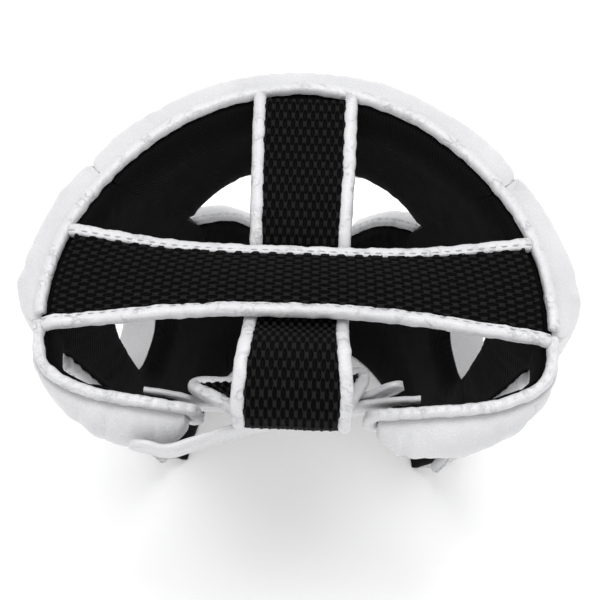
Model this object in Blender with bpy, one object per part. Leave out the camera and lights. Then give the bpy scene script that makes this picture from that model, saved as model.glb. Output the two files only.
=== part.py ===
"""Sparring head guard in white leather with a black lining and a crown of spacer mesh straps.

Metres, +Z up. The face opening looks along +Y and the rear closure lies at -Y. The guard
stands on its jaws at z = 0, centred on the Z axis.

Every pad follows one surface, the seam surface between leather pad and lining. A point of
it is named by a turn in degrees (0 at the middle of the face, 90 at the ear line, 180 at
the nape) and a height above the floor.
"""

import math

import bpy
import numpy as np

MM = 0.001

# Head form: the seam surface.
GUARD_HEIGHT = 190 * MM  # floor to the middle of the forehead's top edge
HALF_WIDTH = 98.5 * MM  # seam surface at the widest place of the top edge
FRONT_REACH = 126 * MM  # ear line to the seam surface in front
REAR_REACH = 28 * MM  # ear line to the seam surface behind

# Sections of the head form: height as a share of GUARD_HEIGHT, half width of HALF_WIDTH, front
# of FRONT_REACH, rear of REAR_REACH, and squareness, the superellipse exponent in front.
SECTIONS = (
    (0.00, 0.67, 0.94, 0.30, 2.2),
    (0.16, 0.69, 0.98, 0.30, 2.4),
    (0.37, 0.755, 1.00, 0.30, 2.5),
    (0.50, 0.81, 0.99, 0.34, 2.5),
    (0.64, 0.885, 0.955, 0.46, 2.4),
    (0.79, 0.95, 0.92, 0.80, 2.2),
    (0.92, 0.99, 0.88, 1.00, 2.05),
    (1.00, 1.00, 0.865, 1.04, 2.0),
)
REAR_SQUARENESS = 3.5  # the superellipse exponent behind the ear line
EAR_LINE = 90  # turn that parts front and rear

# Pads and linings.
PAD_THICKNESS = 17 * MM  # white padded leather, at its fullest
PAD_EDGE = 6 * MM  # the same at its sewn edges
EAR_RIM = 15 * MM  # leather pad's thickness round the ear hole
LINING_THICKNESS = 8 * MM
LINING_EDGE = 3.5 * MM
REAR_PAD_THICKNESS = 14 * MM
REAR_PAD_EDGE = 3.6 * MM
REAR_LINING_THICKNESS = 6 * MM
EDGE_ROUND = 15 * MM  # distance from a free edge at which a pad is full
HOLE_ROUND = 9 * MM  # the same round the ear hole
SEAM_ROUND = 8 * MM  # the same beside a seam between pads
SEAM_DIP = 0.3  # share of the fullness that a seam takes away
FULLNESS_POWER = 0.45  # how flat a rear pad stays between its edges
CORNER_TURN = 79  # degrees: from here to the ear line the side pad thins towards its corner
CORNER_FOOT = 0.50  # share of GUARD_HEIGHT at which that thinning starts
CORNER_THIN = 1.2  # share of the fullness that would be lost at the corner itself
CORNER_THINNEST = 0.6  # most that is lost
FIT_GAP = 0.3 * MM  # between pieces that touch
SEAM_GAP = 0.6 * MM  # between neighbouring pads
CORNER_GAP = 0.6 * MM  # the same at the sharp corner behind the ear
JAW_ROLL = 9 * MM  # how far the pads' lower edges curl in at the floor
JAW_ROLL_HEIGHT = 27 * MM  # height at which the curl starts

SEAM_MEETING = 0.534  # share of GUARD_HEIGHT at which the temple and jaw seams meet

# Edge lines of the pads: turn in degrees against height as a share of GUARD_HEIGHT.
TOP_EDGE = ((0, 1.00), (25, 0.981), (40, 0.962), (53, 0.953), (70, 0.947), (85, 0.930),
            (92, 0.908), (120, 0.886), (145, 0.868), (171, 0.888))
BROW_EDGE = ((0, 0.640), (12, 0.632), (24, 0.590), (34, 0.540))
CHEEK_EDGE = ((8, 0.385), (14, 0.420), (22, 0.478), (34, 0.528))
NAPE_EDGE = ((87, 0.785), (102, 0.768), (120, 0.745), (140, 0.718), (171, 0.702))
# Height as a share of GUARD_HEIGHT against turn in degrees.
TEMPLE_SEAM = ((SEAM_MEETING, 34), (0.75, 44), (0.953, 53))
JAW_SEAM = ((0.0, 38), (0.25, 37), (SEAM_MEETING, 34))
NECK_EDGE = ((0.0, 69.5), (0.06, 74.0), (0.17, 78), (0.32, 81.5), (0.50, 84.5), (0.74, 87.2),
             (0.76, 87.5), (0.908, 87.5))
SIDE_REAR_ROWS = (0.0, 0.06, 0.17, 0.30, 0.42, 0.54, 0.66, 0.78)  # side pad's rows behind
MOUTH_HALF_GAP = 19 * MM
CHEEK_CORNER = 4 * MM  # drop of the cheek's top edge at its rounded corner by the mouth
REAR_END_TURN = 171
LEFT_END_SHORTER = 4.4  # degrees: the left rear panel ends under the flap
REAR_FULL_START = 0.06  # place on the rear pad's crown at its corner, and its run from there
REAR_FULL_RUN = 0.8
# Place from the rear panel's corner to its end, and the share of the pad's swelling there.
REAR_SWELL = ((0.0, 0.15), (0.25, 0.30), (0.50, 0.70), (0.72, 1.0), (1.0, 1.0))
REAR_END_ROUND = 0.62  # share of the rear panel's height that its rounded end gives up
REAR_ROUND_START = 0.6  # share of the panel's length at which the rounding starts
REAR_SPACING = 0.8  # power that draws the rear panel's columns towards its end

# Ear hole, in the side pads.
EAR_TURN = 66.5
EAR_SQUARENESS = 2.6  # the superellipse exponent of the hole's outline
EAR_HEIGHT = 92 * MM
EAR_HALF_LENGTH = 21 * MM
EAR_HALF_HEIGHT = 29 * MM

# Rolled leather bindings.
BINDING_WIDTH = 4.4 * MM
BINDING_HEIGHT = 5.4 * MM
BINDING_SIDES = 8

# Crown straps of spacer mesh.
STRAP_THICKNESS = 4.2 * MM
STRAP_BINDING_WIDTH = 5.2 * MM
STRAP_BINDING_HEIGHT = 5.2 * MM
CROSS_STRAP_WIDTH = 44 * MM
CROWN_STRAP_WIDTH = 42 * MM
CROWN_LENGTH = 145 * MM  # forehead binding to the fold of the crown strap, in plan
CROWN_DIP = 16 * MM  # forehead's top edge to the lowest place of the crown
CROSS_PLACE = 0.54  # the cross strap's middle, as a share of CROWN_LENGTH

# Crown strap from the forehead round its fold: place along CROWN_LENGTH, drop of its middle
# layer below the forehead's top edge as a share of CROWN_DIP, width as a share of
# CROWN_STRAP_WIDTH.
CROWN_STRAP = (
    (0.000, 0.29, 1.00),
    (0.146, 0.71, 0.99),
    (0.291, 1.04, 0.97),
    (0.375, 1.36, 0.95),
    (0.430, 1.62, 0.94),
    (0.505, 1.40, 0.94),
    (0.585, 1.28, 0.94),
    (0.660, 1.24, 0.95),
    (0.705, 1.08, 0.96),
    (0.745, 0.80, 0.97),
    (0.795, 0.60, 1.00),
    (0.845, 0.66, 1.04),
    (0.895, 0.86, 1.07),
    (0.925, 1.10, 1.08),
    (0.940, 1.30, 1.07),
    (0.947, 1.50, 1.06),
    (0.947, 1.68, 1.06),
    (0.936, 1.84, 1.06),
    (0.916, 1.90, 1.06),
)
# Cross strap, middle to end: place as a share of its half length, front and rear edge from
# its middle line as shares of CROSS_STRAP_WIDTH, drops of both edges below the forehead's
# top edge and arch of the section as shares of CROWN_DIP.
CROSS_STRAP = (
    (0.00, 0.360, -0.450, 1.25, 0.84, 0.16),
    (0.25, 0.350, -0.460, 1.22, 0.84, 0.16),
    (0.50, 0.345, -0.500, 1.12, 0.86, 0.13),
    (0.75, 0.370, -0.560, 0.93, 0.93, 0.07),
    (1.00, 0.410, -0.610, 0.72, 1.05, 0.00),
)

# Rear flap of the crown strap, folded back in under it. Each side is given by how far its inner
# corner lies outwards and forwards of the fold's end.
FLAP_LEFT = (28 * MM, 19 * MM)
FLAP_RIGHT = (10 * MM, 29 * MM)
FLAP_DROP = 9.8 * MM
FLAP_START = 2.6 * MM  # crown strap's end to the flap's first line
FLAP_SLANT = 1.45  # width across the flap of a binding on its slanted side, over its own width
FLAP_CORNER = 0.9  # share of the inner edge left straight between its rounded corners

# Closure straps. Each lies against the inner face of one rear panel, passes under the flap and
# ends in a round tab. On a panel its middle line is given by turn and by height as a share of
# GUARD_HEIGHT. Under the flap it is given from the fold of the crown strap, in shares of
# HALF_WIDTH sideways and forwards and of GUARD_HEIGHT upwards.
CLOSURE_WIDTH = 17 * MM
CLOSURE_THICKNESS = 3.4 * MM
CLOSURE_LEAN = 18  # degrees backwards, as the rear panels lean
CLOSURE_BLUNT = 0.35  # width left at the very tip of the tab, as a share
OUTER_ROOT = ((161, 0.760), (167, 0.745))  # on the right lining
OUTER_BRIDGE = (
    (0.270, 0.298, 0.738),
    (0.150, 0.255, 0.737),
    (0.000, 0.202, 0.738),
    (-0.180, 0.144, 0.742),
    (-0.330, 0.080, 0.765),
)
OUTER_TAB = ((164, 0.805), (159, 0.820), (154, 0.826))  # on the left pad
INNER_ROOT = ((153, 0.738), (159, 0.732))  # on the left lining
INNER_BRIDGE = (
    (-0.365, 0.310, 0.722),
    (-0.180, 0.306, 0.724),
    (0.000, 0.312, 0.726),
    (0.180, 0.330, 0.728),
    (0.280, 0.345, 0.734),
    (0.335, 0.352, 0.750),
    (0.385, 0.354, 0.770),
    (0.425, 0.356, 0.782),
)

WHITE_LEATHER = ("white_leather", (0.86, 0.86, 0.87), 0.42)
BLACK_LINING = ("black_lining", (0.012, 0.012, 0.013), 0.75)
BLACK_MESH = ("black_mesh", (0.016, 0.016, 0.017), 0.85)


def smooth_table(places, rows, column):
    """Values of one column of a table at the given places, on a smooth monotone curve."""
    table = np.array(rows, float)
    xs = table[:, 0]
    ys = table[:, column]
    slopes = np.diff(ys) / np.diff(xs)
    tangents = np.zeros_like(ys)
    tangents[0] = slopes[0]
    tangents[-1] = slopes[-1]
    same_way = slopes[:-1] * slopes[1:] > 0
    total = slopes[:-1] + slopes[1:]
    total[total == 0] = 1.0
    tangents[1:-1] = np.where(same_way, 2 * slopes[:-1] * slopes[1:] / total, 0.0)
    at = np.clip(np.asarray(places, float), xs[0], xs[-1])
    cell = np.clip(np.searchsorted(xs, at, side="right") - 1, 0, len(xs) - 2)
    width = xs[cell + 1] - xs[cell]
    s = (at - xs[cell]) / width
    return ((2 * s**3 - 3 * s**2 + 1) * ys[cell] + (s**3 - 2 * s**2 + s) * width * tangents[cell]
            + (-2 * s**3 + 3 * s**2) * ys[cell + 1] + (s**3 - s**2) * width * tangents[cell + 1])


def section(height):
    """Half width, front reach, rear reach and squareness of the head form at a height."""
    share = np.asarray(height, float) / GUARD_HEIGHT
    half, front, rear, square = (smooth_table(share, SECTIONS, column) for column in range(1, 5))
    return half * HALF_WIDTH, front * FRONT_REACH, rear * REAR_REACH, square


def head_point(turn, height):
    """Point of the seam surface on the +X side for arrays of turn (degrees) and height."""
    half, front, rear, square = section(height)
    angle = np.radians(turn)
    sine = np.abs(np.sin(angle))
    cosine = np.abs(np.cos(angle))
    ahead = np.asarray(turn) <= EAR_LINE
    power = np.where(ahead, 2 / square, 2 / REAR_SQUARENESS)
    reach = np.where(ahead, front, -rear)
    x = np.sign(np.sin(angle)) * half * sine**power
    curl = JAW_ROLL * np.clip(1 - np.asarray(height) / JAW_ROLL_HEIGHT, 0, 1) ** 2
    radial = np.stack([x, reach * cosine**power, np.zeros_like(x)], -1)
    length = np.maximum(np.linalg.norm(radial, axis=-1, keepdims=True), MM)
    radial = radial * (1 - curl[..., None] / length)
    return radial + np.stack([np.zeros_like(x), np.zeros_like(x), x * 0 + height], -1)


def head_normal(turn, height):
    """Outward unit normal of the seam surface, from small steps along it."""
    step_turn = 0.4
    step_height = 0.6 * MM
    along = head_point(turn + step_turn, height) - head_point(turn - step_turn, height)
    up = head_point(turn, height + step_height) - head_point(turn, height - step_height)
    normal = np.cross(up, along)
    return normal / np.linalg.norm(normal, axis=-1, keepdims=True)


def edge_height(turn, rows):
    """Height of an edge line at a turn."""
    return smooth_table(np.abs(turn), rows, 1) * GUARD_HEIGHT


def edge_turn(height, rows):
    """Turn of a seam line at a height."""
    return smooth_table(np.asarray(height) / GUARD_HEIGHT, rows, 1)


def material(finish):
    """The named Principled material, made once."""
    name, colour, roughness = finish
    found = bpy.data.materials.get(name)
    if found:
        return found
    made = bpy.data.materials.new(name)
    made.use_nodes = True
    shader = made.node_tree.nodes["Principled BSDF"]
    shader.inputs["Base Color"].default_value = (*colour, 1)
    shader.inputs["Roughness"].default_value = roughness
    return made


def add_mesh(name, points, faces, finish):
    """A new object from points and faces, shaded smooth between sharp edges."""
    mesh = bpy.data.meshes.new(name)
    mesh.from_pydata(points.tolist(), [], np.array(faces).tolist())
    mesh.materials.append(material(finish))
    mesh.shade_smooth()
    mesh.set_sharp_from_angle(angle=math.radians(50))
    made = bpy.data.objects.new(name, mesh)
    bpy.context.collection.objects.link(made)
    return made


def facing_out(points, faces):
    """The triangles, turned over where they enclose their volume from inside."""
    corners = points[np.array(faces)]
    volume = np.einsum("ij,ij->", corners[:, 0], np.cross(corners[:, 1], corners[:, 2]))
    return faces if volume > 0 else [face[::-1] for face in faces]


def grid_solid(name, inner, outer, finish, ring=False):
    """Closed solid between two grids of points; ring closes it along the first index."""
    rows, columns = inner.shape[:2]
    inside = np.arange(rows * columns).reshape(rows, columns)
    outside = inside + rows * columns
    last = rows if ring else rows - 1
    faces = []
    for i in range(last):
        k = (i + 1) % rows
        for j in range(columns - 1):
            a, b, c, d = inside[i, j], inside[k, j], inside[k, j + 1], inside[i, j + 1]
            faces += [(a, b, c), (a, c, d)]
            a, b, c, d = outside[i, j], outside[k, j], outside[k, j + 1], outside[i, j + 1]
            faces += [(a, c, b), (a, d, c)]
        faces += quad(inside[k, 0], inside[i, 0], outside[i, 0], outside[k, 0])
        faces += quad(inside[i, -1], inside[k, -1], outside[k, -1], outside[i, -1])
    if not ring:
        for j in range(columns - 1):
            faces += quad(inside[0, j], inside[0, j + 1], outside[0, j + 1], outside[0, j])
            faces += quad(inside[-1, j + 1], inside[-1, j], outside[-1, j], outside[-1, j + 1])
    points = np.concatenate([inner.reshape(-1, 3), outer.reshape(-1, 3)])
    return add_mesh(name, points, facing_out(points, faces), finish)


def quad(a, b, c, d):
    """Two triangles of a four-cornered face."""
    return [(a, b, c), (a, c, d)]


def eased(count):
    """Shares from 0 to 1, closer together towards both ends."""
    return 0.5 - 0.5 * np.cos(np.pi * np.arange(count + 1) / count)


def crown(share):
    """Fullness of a pad across a share from 0 to 1: 0 at both edges and 1 in the middle."""
    return np.clip(4 * share * (1 - share), 0, 1) ** FULLNESS_POWER


def rounded(distance, radius):
    """Quarter circle from 0 at an edge to 1 at a radius from it."""
    return np.sqrt(1 - (1 - np.clip(distance / radius, 0, 1)) ** 2)


def beside_seam(distance):
    """Fullness beside a seam between pads, from the distance to it."""
    return 1 - SEAM_DIP * (1 - rounded(distance, SEAM_ROUND))


def mirrored(points, side):
    """Points turned to one side: side is 1 for +X and -1 for -X."""
    return points * np.array([side, 1, 1])


def pad_pair(name, turn, height, full, seam, side, pad_full, lining_full, pad_edge, ring=False):
    """Leather pad and its lining over one grid of turns and heights.

    full is the fullness of the padding at each point of the grid, 0 at the free edges, and
    seam is the share of it that the pad keeps beside the seams.
    """
    surface = head_point(turn, height)
    normal = head_normal(turn, height)
    half_gap = FIT_GAP / 2
    pad_depth = pad_edge + (pad_full - pad_edge) * full * seam
    lining_depth = LINING_EDGE + (lining_full - LINING_EDGE) * full
    tail = side_name("", side) if side else ""
    sign = side or 1

    def layer(depth):
        points = surface + normal * np.asarray(depth)[..., None]
        points[..., 2] = np.maximum(points[..., 2], 0.0)
        return mirrored(points, sign)

    grid_solid(f"{name}_pad{tail}", layer(half_gap + 0 * full), layer(pad_depth), WHITE_LEATHER,
               ring)
    grid_solid(f"{name}_lining{tail}", layer(-lining_depth), layer(-half_gap + 0 * full),
               BLACK_LINING, ring)


def side_name(name, side):
    """Name of a piece with its side."""
    return name + ("_right" if side > 0 else "_left")


def bound_edge(name, turn, height, side, count):
    """Binding laid along a pad's boundary, on the left hand as seen from outside the guard."""
    boundary = head_point(turn, height)
    line = smooth_path(np.concatenate([boundary, head_normal(turn, height)], -1), count)
    dense = smooth_path(boundary, 8 * count)
    path = line[:, :3]
    normal = unit(line[:, 3:])
    outwards = unit(np.cross(unit(np.gradient(path, axis=0)), normal))
    wanted = BINDING_HEIGHT / 2 + 2 * FIT_GAP
    path = path + outwards * wanted
    for _ in range(12):
        halfway = (path[1:] + path[:-1]) / 2
        checked = np.concatenate([path, halfway])
        nearest = np.linalg.norm(checked[:, None] - dense, axis=-1).min(axis=1)
        short = np.clip(wanted - nearest, 0, None)
        push = short[:len(path)]
        push[1:] = np.maximum(push[1:], short[len(path):])
        push[:-1] = np.maximum(push[:-1], short[len(path):])
        path = path + outwards * push[:, None]
    sweep(name, mirrored(path, side), mirrored(normal, side), BINDING_WIDTH, BINDING_HEIGHT,
          WHITE_LEATHER)


def top_of_pads(turn):
    """Upper edge of the pads, under the binding that caps them."""
    return edge_height(turn, TOP_EDGE) - BINDING_HEIGHT - FIT_GAP


def build_forehead():
    """Forehead pad and lining, from temple seam to temple seam."""
    u = np.linspace(-1, 1, 19)[:, None]
    v = eased(7)[None, :]
    turn = u * TEMPLE_SEAM[0][1]
    for _ in range(6):
        low = edge_height(turn, BROW_EDGE) + BINDING_HEIGHT
        height = low + (top_of_pads(turn) - low) * v
        reach = edge_turn(height, TEMPLE_SEAM) - math.degrees(SEAM_GAP / FRONT_REACH)
        turn = u * reach
    top = top_of_pads(turn)
    full = rounded(np.minimum(top - height, height - low), EDGE_ROUND)
    seam = beside_seam(np.radians(reach - np.abs(turn)) * FRONT_REACH)
    pad_pair("forehead", turn, height, full, seam, 0, PAD_THICKNESS, LINING_THICKNESS, PAD_EDGE)


def side_outline():
    """Closed outline of a side pad round the ear: turns, heights and where it is a seam."""
    front = np.linspace(TEMPLE_SEAM[-1][0], 0, 10) * GUARD_HEIGHT
    front_turn = np.where(front > SEAM_MEETING * GUARD_HEIGHT, edge_turn(front, TEMPLE_SEAM),
                          edge_turn(front, JAW_SEAM)) + math.degrees(SEAM_GAP / FRONT_REACH)
    front[0] = top_of_pads(front_turn[0])
    bottom_turn = np.linspace(front_turn[-1], edge_turn(0.0, NECK_EDGE), 7)[1:-1]
    bottom = np.zeros_like(bottom_turn)
    rear = np.array(SIDE_REAR_ROWS) * GUARD_HEIGHT
    rear_turn = edge_turn(rear, NECK_EDGE)
    corner = np.array([rear_turn[-1]])
    top_turn = np.concatenate([corner, np.linspace(rear_turn[-1], front_turn[0], 8)[1:-1]])
    top = top_of_pads(top_turn)
    turns = np.concatenate([front_turn, bottom_turn, rear_turn, top_turn])
    heights = np.concatenate([front, bottom, rear, top])
    is_seam = np.arange(len(turns)) < len(front) - 1
    is_seam[0] = False
    return turns, heights, is_seam


def build_side(side):
    """Temple, ear surround and jaw of one side: a pad with the ear hole through it."""
    turns, heights, is_seam = side_outline()
    scale = math.radians(1) * FRONT_REACH
    bearing = np.arctan2(heights - EAR_HEIGHT, (turns - EAR_TURN) * scale)
    radius = (np.abs(np.cos(bearing) / EAR_HALF_LENGTH) ** EAR_SQUARENESS
              + np.abs(np.sin(bearing) / EAR_HALF_HEIGHT) ** EAR_SQUARENESS) ** (
                  -1 / EAR_SQUARENESS)
    hole_turn = EAR_TURN + radius * np.cos(bearing) / scale
    hole_height = EAR_HEIGHT + radius * np.sin(bearing)
    v = eased(5)[None, :]
    turn = hole_turn[:, None] + (turns - hole_turn)[:, None] * v
    height = hole_height[:, None] + (heights - hole_height)[:, None] * v
    reach = np.hypot((turns - hole_turn) * scale, heights - hole_height)[:, None]
    to_edge = (1 - v) * reach
    free = rounded(to_edge, EDGE_ROUND)
    backwards = np.clip((turn - CORNER_TURN) / (EAR_LINE - CORNER_TURN), 0, 1)
    upwards = np.clip((height / GUARD_HEIGHT - CORNER_FOOT) / (1 - CORNER_FOOT), 0, 1)
    full = rounded(v * reach, HOLE_ROUND) * np.where(is_seam[:, None], 1, free)
    full = full * (1 - np.minimum(CORNER_THIN * backwards * upwards, CORNER_THINNEST))
    seam = np.where(is_seam[:, None], beside_seam(to_edge), 1)
    pad_edge = EAR_RIM + (PAD_EDGE - EAR_RIM) * v
    pad_pair("side", turn, height, full, seam, side, PAD_THICKNESS, LINING_THICKNESS, pad_edge,
             ring=True)
    height = np.linspace(NECK_EDGE[-3][0], NECK_EDGE[1][0], 12) * GUARD_HEIGHT
    bound_edge(side_name("neck_binding", side), edge_turn(height, NECK_EDGE), height, side, 12)


def build_cheek(side):
    """Cheek pad between the mouth gap and the jaw seam."""
    v = eased(6)[None, :]
    u = eased(6)[:, None]
    turn = CHEEK_EDGE[0][0] + (JAW_SEAM[0][1] - CHEEK_EDGE[0][0]) * u + 0 * v
    for _ in range(6):
        high = edge_height(turn, CHEEK_EDGE) - BINDING_HEIGHT - FIT_GAP
        high = high - CHEEK_CORNER * (1 - u) ** 4
        height = high * v
        half, _, _, square = section(height)
        mouth = np.degrees(np.arcsin((MOUTH_HALF_GAP / half) ** (square / 2)))
        seam = edge_turn(height, JAW_SEAM) - math.degrees(SEAM_GAP / FRONT_REACH)
        turn = mouth + (seam - mouth) * u
    width = np.radians(seam - mouth) * FRONT_REACH
    full = rounded(np.minimum(np.minimum(high - height, height), width * u), EDGE_ROUND)
    pad_pair("cheek", turn, height, full, beside_seam(width * (1 - u)), side, PAD_THICKNESS,
             LINING_THICKNESS, PAD_EDGE)
    bound_edge(side_name("cheek_binding", side), np.concatenate([turn[0, 1:-1], turn[:, -1]]),
               np.concatenate([height[0, 1:-1], height[:, -1]]), side, 16)


def build_rear(side):
    """Rear panel from the ear line's corner to its rounded end beside the closure."""
    u = np.linspace(0, 1, 9)[:, None]
    v = eased(5)[None, :]
    start = NECK_EDGE[-1][1] + math.degrees(CORNER_GAP / FRONT_REACH) + 0 * v
    end = REAR_END_TURN - (0 if side > 0 else LEFT_END_SHORTER)
    turn = start + (end - start) * u**REAR_SPACING
    high = top_of_pads(turn)
    low = edge_height(turn, NAPE_EDGE)
    past_start = np.clip((u - REAR_ROUND_START) / (1 - REAR_ROUND_START), 0, 1)
    rounding = 1 - REAR_END_ROUND * past_start**2
    height = (high + low) / 2 + (high - low) * rounding * (v - 0.5)
    full = crown(v) * crown(REAR_FULL_START + REAR_FULL_RUN * u)
    pad_pair("rear", turn, height, full, smooth_table(u, REAR_SWELL, 1), side,
             REAR_PAD_THICKNESS, REAR_LINING_THICKNESS, REAR_PAD_EDGE)
    rounds = ((slice(None), -1), (-1, slice(-2, 0, -1)), (slice(None, 0, -1), 0))
    turn = turn + 0 * v
    bound_edge(side_name("rear_binding", side), np.concatenate([turn[at] for at in rounds]),
               np.concatenate([height[at] for at in rounds]), side, 24)


def unit(vectors):
    """The same vectors at length one."""
    return vectors / np.linalg.norm(vectors, axis=-1, keepdims=True)


def smooth_path(points, count):
    """Evenly spaced points on a smooth curve through the given ones."""
    knots = np.array(points, float)
    ends = np.concatenate([2 * knots[:1] - knots[1:2], knots, 2 * knots[-1:] - knots[-2:-1]])
    s = np.linspace(0, 1, 9)[:-1, None]
    fine = []
    for p0, p1, p2, p3 in zip(ends[:-3], ends[1:-2], ends[2:-1], ends[3:]):
        fine.append(0.5 * (2 * p1 + (p2 - p0) * s + (2 * p0 - 5 * p1 + 4 * p2 - p3) * s**2
                           + (3 * p1 - p0 - 3 * p2 + p3) * s**3))
    fine = np.concatenate([*fine, knots[-1:]])
    steps = np.linalg.norm(np.diff(fine[:, :3], axis=0), axis=1)
    along = np.concatenate([[0], np.cumsum(steps)])
    at = np.linspace(0, along[-1], count)
    return np.stack([np.interp(at, along, column) for column in fine.T], -1)


def sweep(name, path, across, width, height, finish):
    """Closed bar with a rounded section along a path; width runs the way across points."""
    tangent = unit(np.gradient(path, axis=0))
    sideways = unit(across - np.sum(across * tangent, -1, keepdims=True) * tangent)
    upwards = np.cross(tangent, sideways)
    angle = 2 * np.pi * (np.arange(BINDING_SIDES) + 0.5) / BINDING_SIDES
    rounding = 1 / math.cos(np.pi / BINDING_SIDES)
    ring = (path[:, None] + sideways[:, None] * (np.cos(angle) * width / 2 * rounding)[:, None]
            + upwards[:, None] * (np.sin(angle) * height / 2 * rounding)[:, None])
    index = np.arange(ring.shape[0] * BINDING_SIDES).reshape(-1, BINDING_SIDES)
    faces = []
    for i in range(len(path) - 1):
        for j in range(BINDING_SIDES):
            k = (j + 1) % BINDING_SIDES
            faces += quad(index[i, j], index[i, k], index[i + 1, k], index[i + 1, j])
    for j in range(1, BINDING_SIDES - 1):
        faces.append((index[0, 0], index[0, j + 1], index[0, j]))
        faces.append((index[-1, 0], index[-1, j], index[-1, j + 1]))
    points = ring.reshape(-1, 3)
    return add_mesh(name, points, facing_out(points, faces), finish)


def layered(name, surface, thickness, finish):
    """Closed solid of even thickness round a grid of points on its middle layer."""
    across = np.gradient(surface, axis=1)
    along = np.gradient(surface, axis=0)
    normal = unit(np.cross(along, across))
    return grid_solid(name, surface - normal * thickness / 2, surface + normal * thickness / 2,
                      finish)


def edge_binding(name, turn, height, side=1):
    """Binding that caps a pad along a line of its edge, given on the seam surface."""
    path = head_point(turn, height)
    normal = head_normal(turn, height)
    path = path + normal * (PAD_EDGE - LINING_EDGE - BINDING_WIDTH / 2) / 2
    sweep(name, mirrored(path, side), mirrored(normal, side), BINDING_WIDTH, BINDING_HEIGHT,
          WHITE_LEATHER)


def build_bindings():
    """Bindings along the pads' top edges, brow, cheeks, rear ends and neck edges."""
    joint = math.degrees(FIT_GAP / FRONT_REACH)
    temple = TEMPLE_SEAM[-1][1]
    turn = np.linspace(-temple + joint, temple - joint, 21)
    middle = edge_height(turn, TOP_EDGE) - BINDING_HEIGHT / 2
    edge_binding("forehead_binding", turn, middle)
    eye_corner = BROW_EDGE[-1][0]
    turn = np.linspace(-eye_corner, eye_corner, 19)
    brow = edge_height(turn, BROW_EDGE) + BINDING_HEIGHT / 2 - FIT_GAP
    edge_binding("brow_binding", turn, brow)
    for side, tail in ((1, "_right"), (-1, "_left")):
        turn = np.linspace(temple + joint, NECK_EDGE[-1][1] - joint, 15)
        middle = edge_height(turn, TOP_EDGE) - BINDING_HEIGHT / 2 + FIT_GAP
        edge_binding("side_binding" + tail, turn, middle, side)


def front_edge():
    """Y of the forehead binding's inner edge in the middle."""
    return float(head_point(0.0, GUARD_HEIGHT)[1]) - BINDING_WIDTH - FIT_GAP


def crown_surface(inset, count, columns):
    """Middle layer of the crown strap between its edges, less an inset at each."""
    rows = np.array(CROWN_STRAP)
    knots = np.stack([front_edge() - rows[:, 0] * CROWN_LENGTH,
                      GUARD_HEIGHT - rows[:, 1] * CROWN_DIP,
                      rows[:, 2] * CROWN_STRAP_WIDTH / 2], -1)
    path = smooth_path(knots, count)
    half = path[:, 2] - inset
    across = np.linspace(-1, 1, columns)
    x = half[:, None] * across
    y = path[:, :1] + 0 * x
    z = path[:, 1:2] + 0 * x
    return np.stack([x, y, z], -1)


def build_crown_strap():
    """Front to back strap: spacer mesh between two bindings."""
    count = 28
    mesh = crown_surface(STRAP_BINDING_WIDTH + FIT_GAP, count, 3)
    layered("crown_strap", mesh, STRAP_THICKNESS, BLACK_MESH)
    edges = crown_surface(STRAP_BINDING_WIDTH / 2, count, 2)
    across = edges[:, 1] - edges[:, 0]
    for path, tail in ((edges[:, 1], "_right"), (edges[:, 0], "_left")):
        sweep("crown_binding" + tail, path, across, STRAP_BINDING_WIDTH, STRAP_BINDING_HEIGHT,
              WHITE_LEATHER)


def ring_inner_x(y):
    """How far out the inner side of the top binding lies at each y."""
    turn = np.linspace(JAW_SEAM[0][1], EAR_LINE, 60)
    height = edge_height(turn, TOP_EDGE) - BINDING_HEIGHT / 2
    line = head_point(turn, height) - head_normal(turn, height) * BINDING_WIDTH
    return np.interp(y, line[::-1, 1], line[::-1, 0]) - FIT_GAP


def cross_surface(inset, count, columns):
    """Middle layer of the cross strap between its edges, less an inset at each."""
    share = np.linspace(-1, 1, count)
    front, rear, front_drop, rear_drop, arch = (
        smooth_table(np.abs(share), CROSS_STRAP, column) for column in range(1, 6))
    middle = front_edge() - CROSS_PLACE * CROWN_LENGTH
    front_y = middle + front * CROSS_STRAP_WIDTH
    rear_y = middle + rear * CROSS_STRAP_WIDTH
    start = inset / (front_y - rear_y)
    v = start[:, None] + (1 - 2 * start[:, None]) * np.linspace(0, 1, columns)
    y = front_y[:, None] + (rear_y - front_y)[:, None] * v
    drop = front_drop[:, None] + (rear_drop - front_drop)[:, None] * v
    z = GUARD_HEIGHT - (drop - arch[:, None] * 4 * v * (1 - v)) * CROWN_DIP
    end_y = y[-1]
    x = share[:, None] * ring_inner_x(end_y)
    return np.stack([x, y, z], -1)


def build_cross_strap():
    """Side to side strap: spacer mesh between two bindings."""
    count = 23
    mesh = cross_surface(STRAP_BINDING_WIDTH + FIT_GAP, count, 5)
    layered("cross_strap", mesh, STRAP_THICKNESS, BLACK_MESH)
    edges = cross_surface(STRAP_BINDING_WIDTH / 2, count, 2)
    across = edges[:, 1] - edges[:, 0]
    for path, tail in ((edges[:, 0], "_front"), (edges[:, 1], "_rear")):
        sweep("cross_binding" + tail, path, across, STRAP_BINDING_WIDTH, STRAP_BINDING_HEIGHT,
              WHITE_LEATHER)


def fold_end():
    """Y and height of the crown strap's end under its fold."""
    along, drop, _ = CROWN_STRAP[-1]
    return front_edge() - along * CROWN_LENGTH, GUARD_HEIGHT - drop * CROWN_DIP


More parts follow.
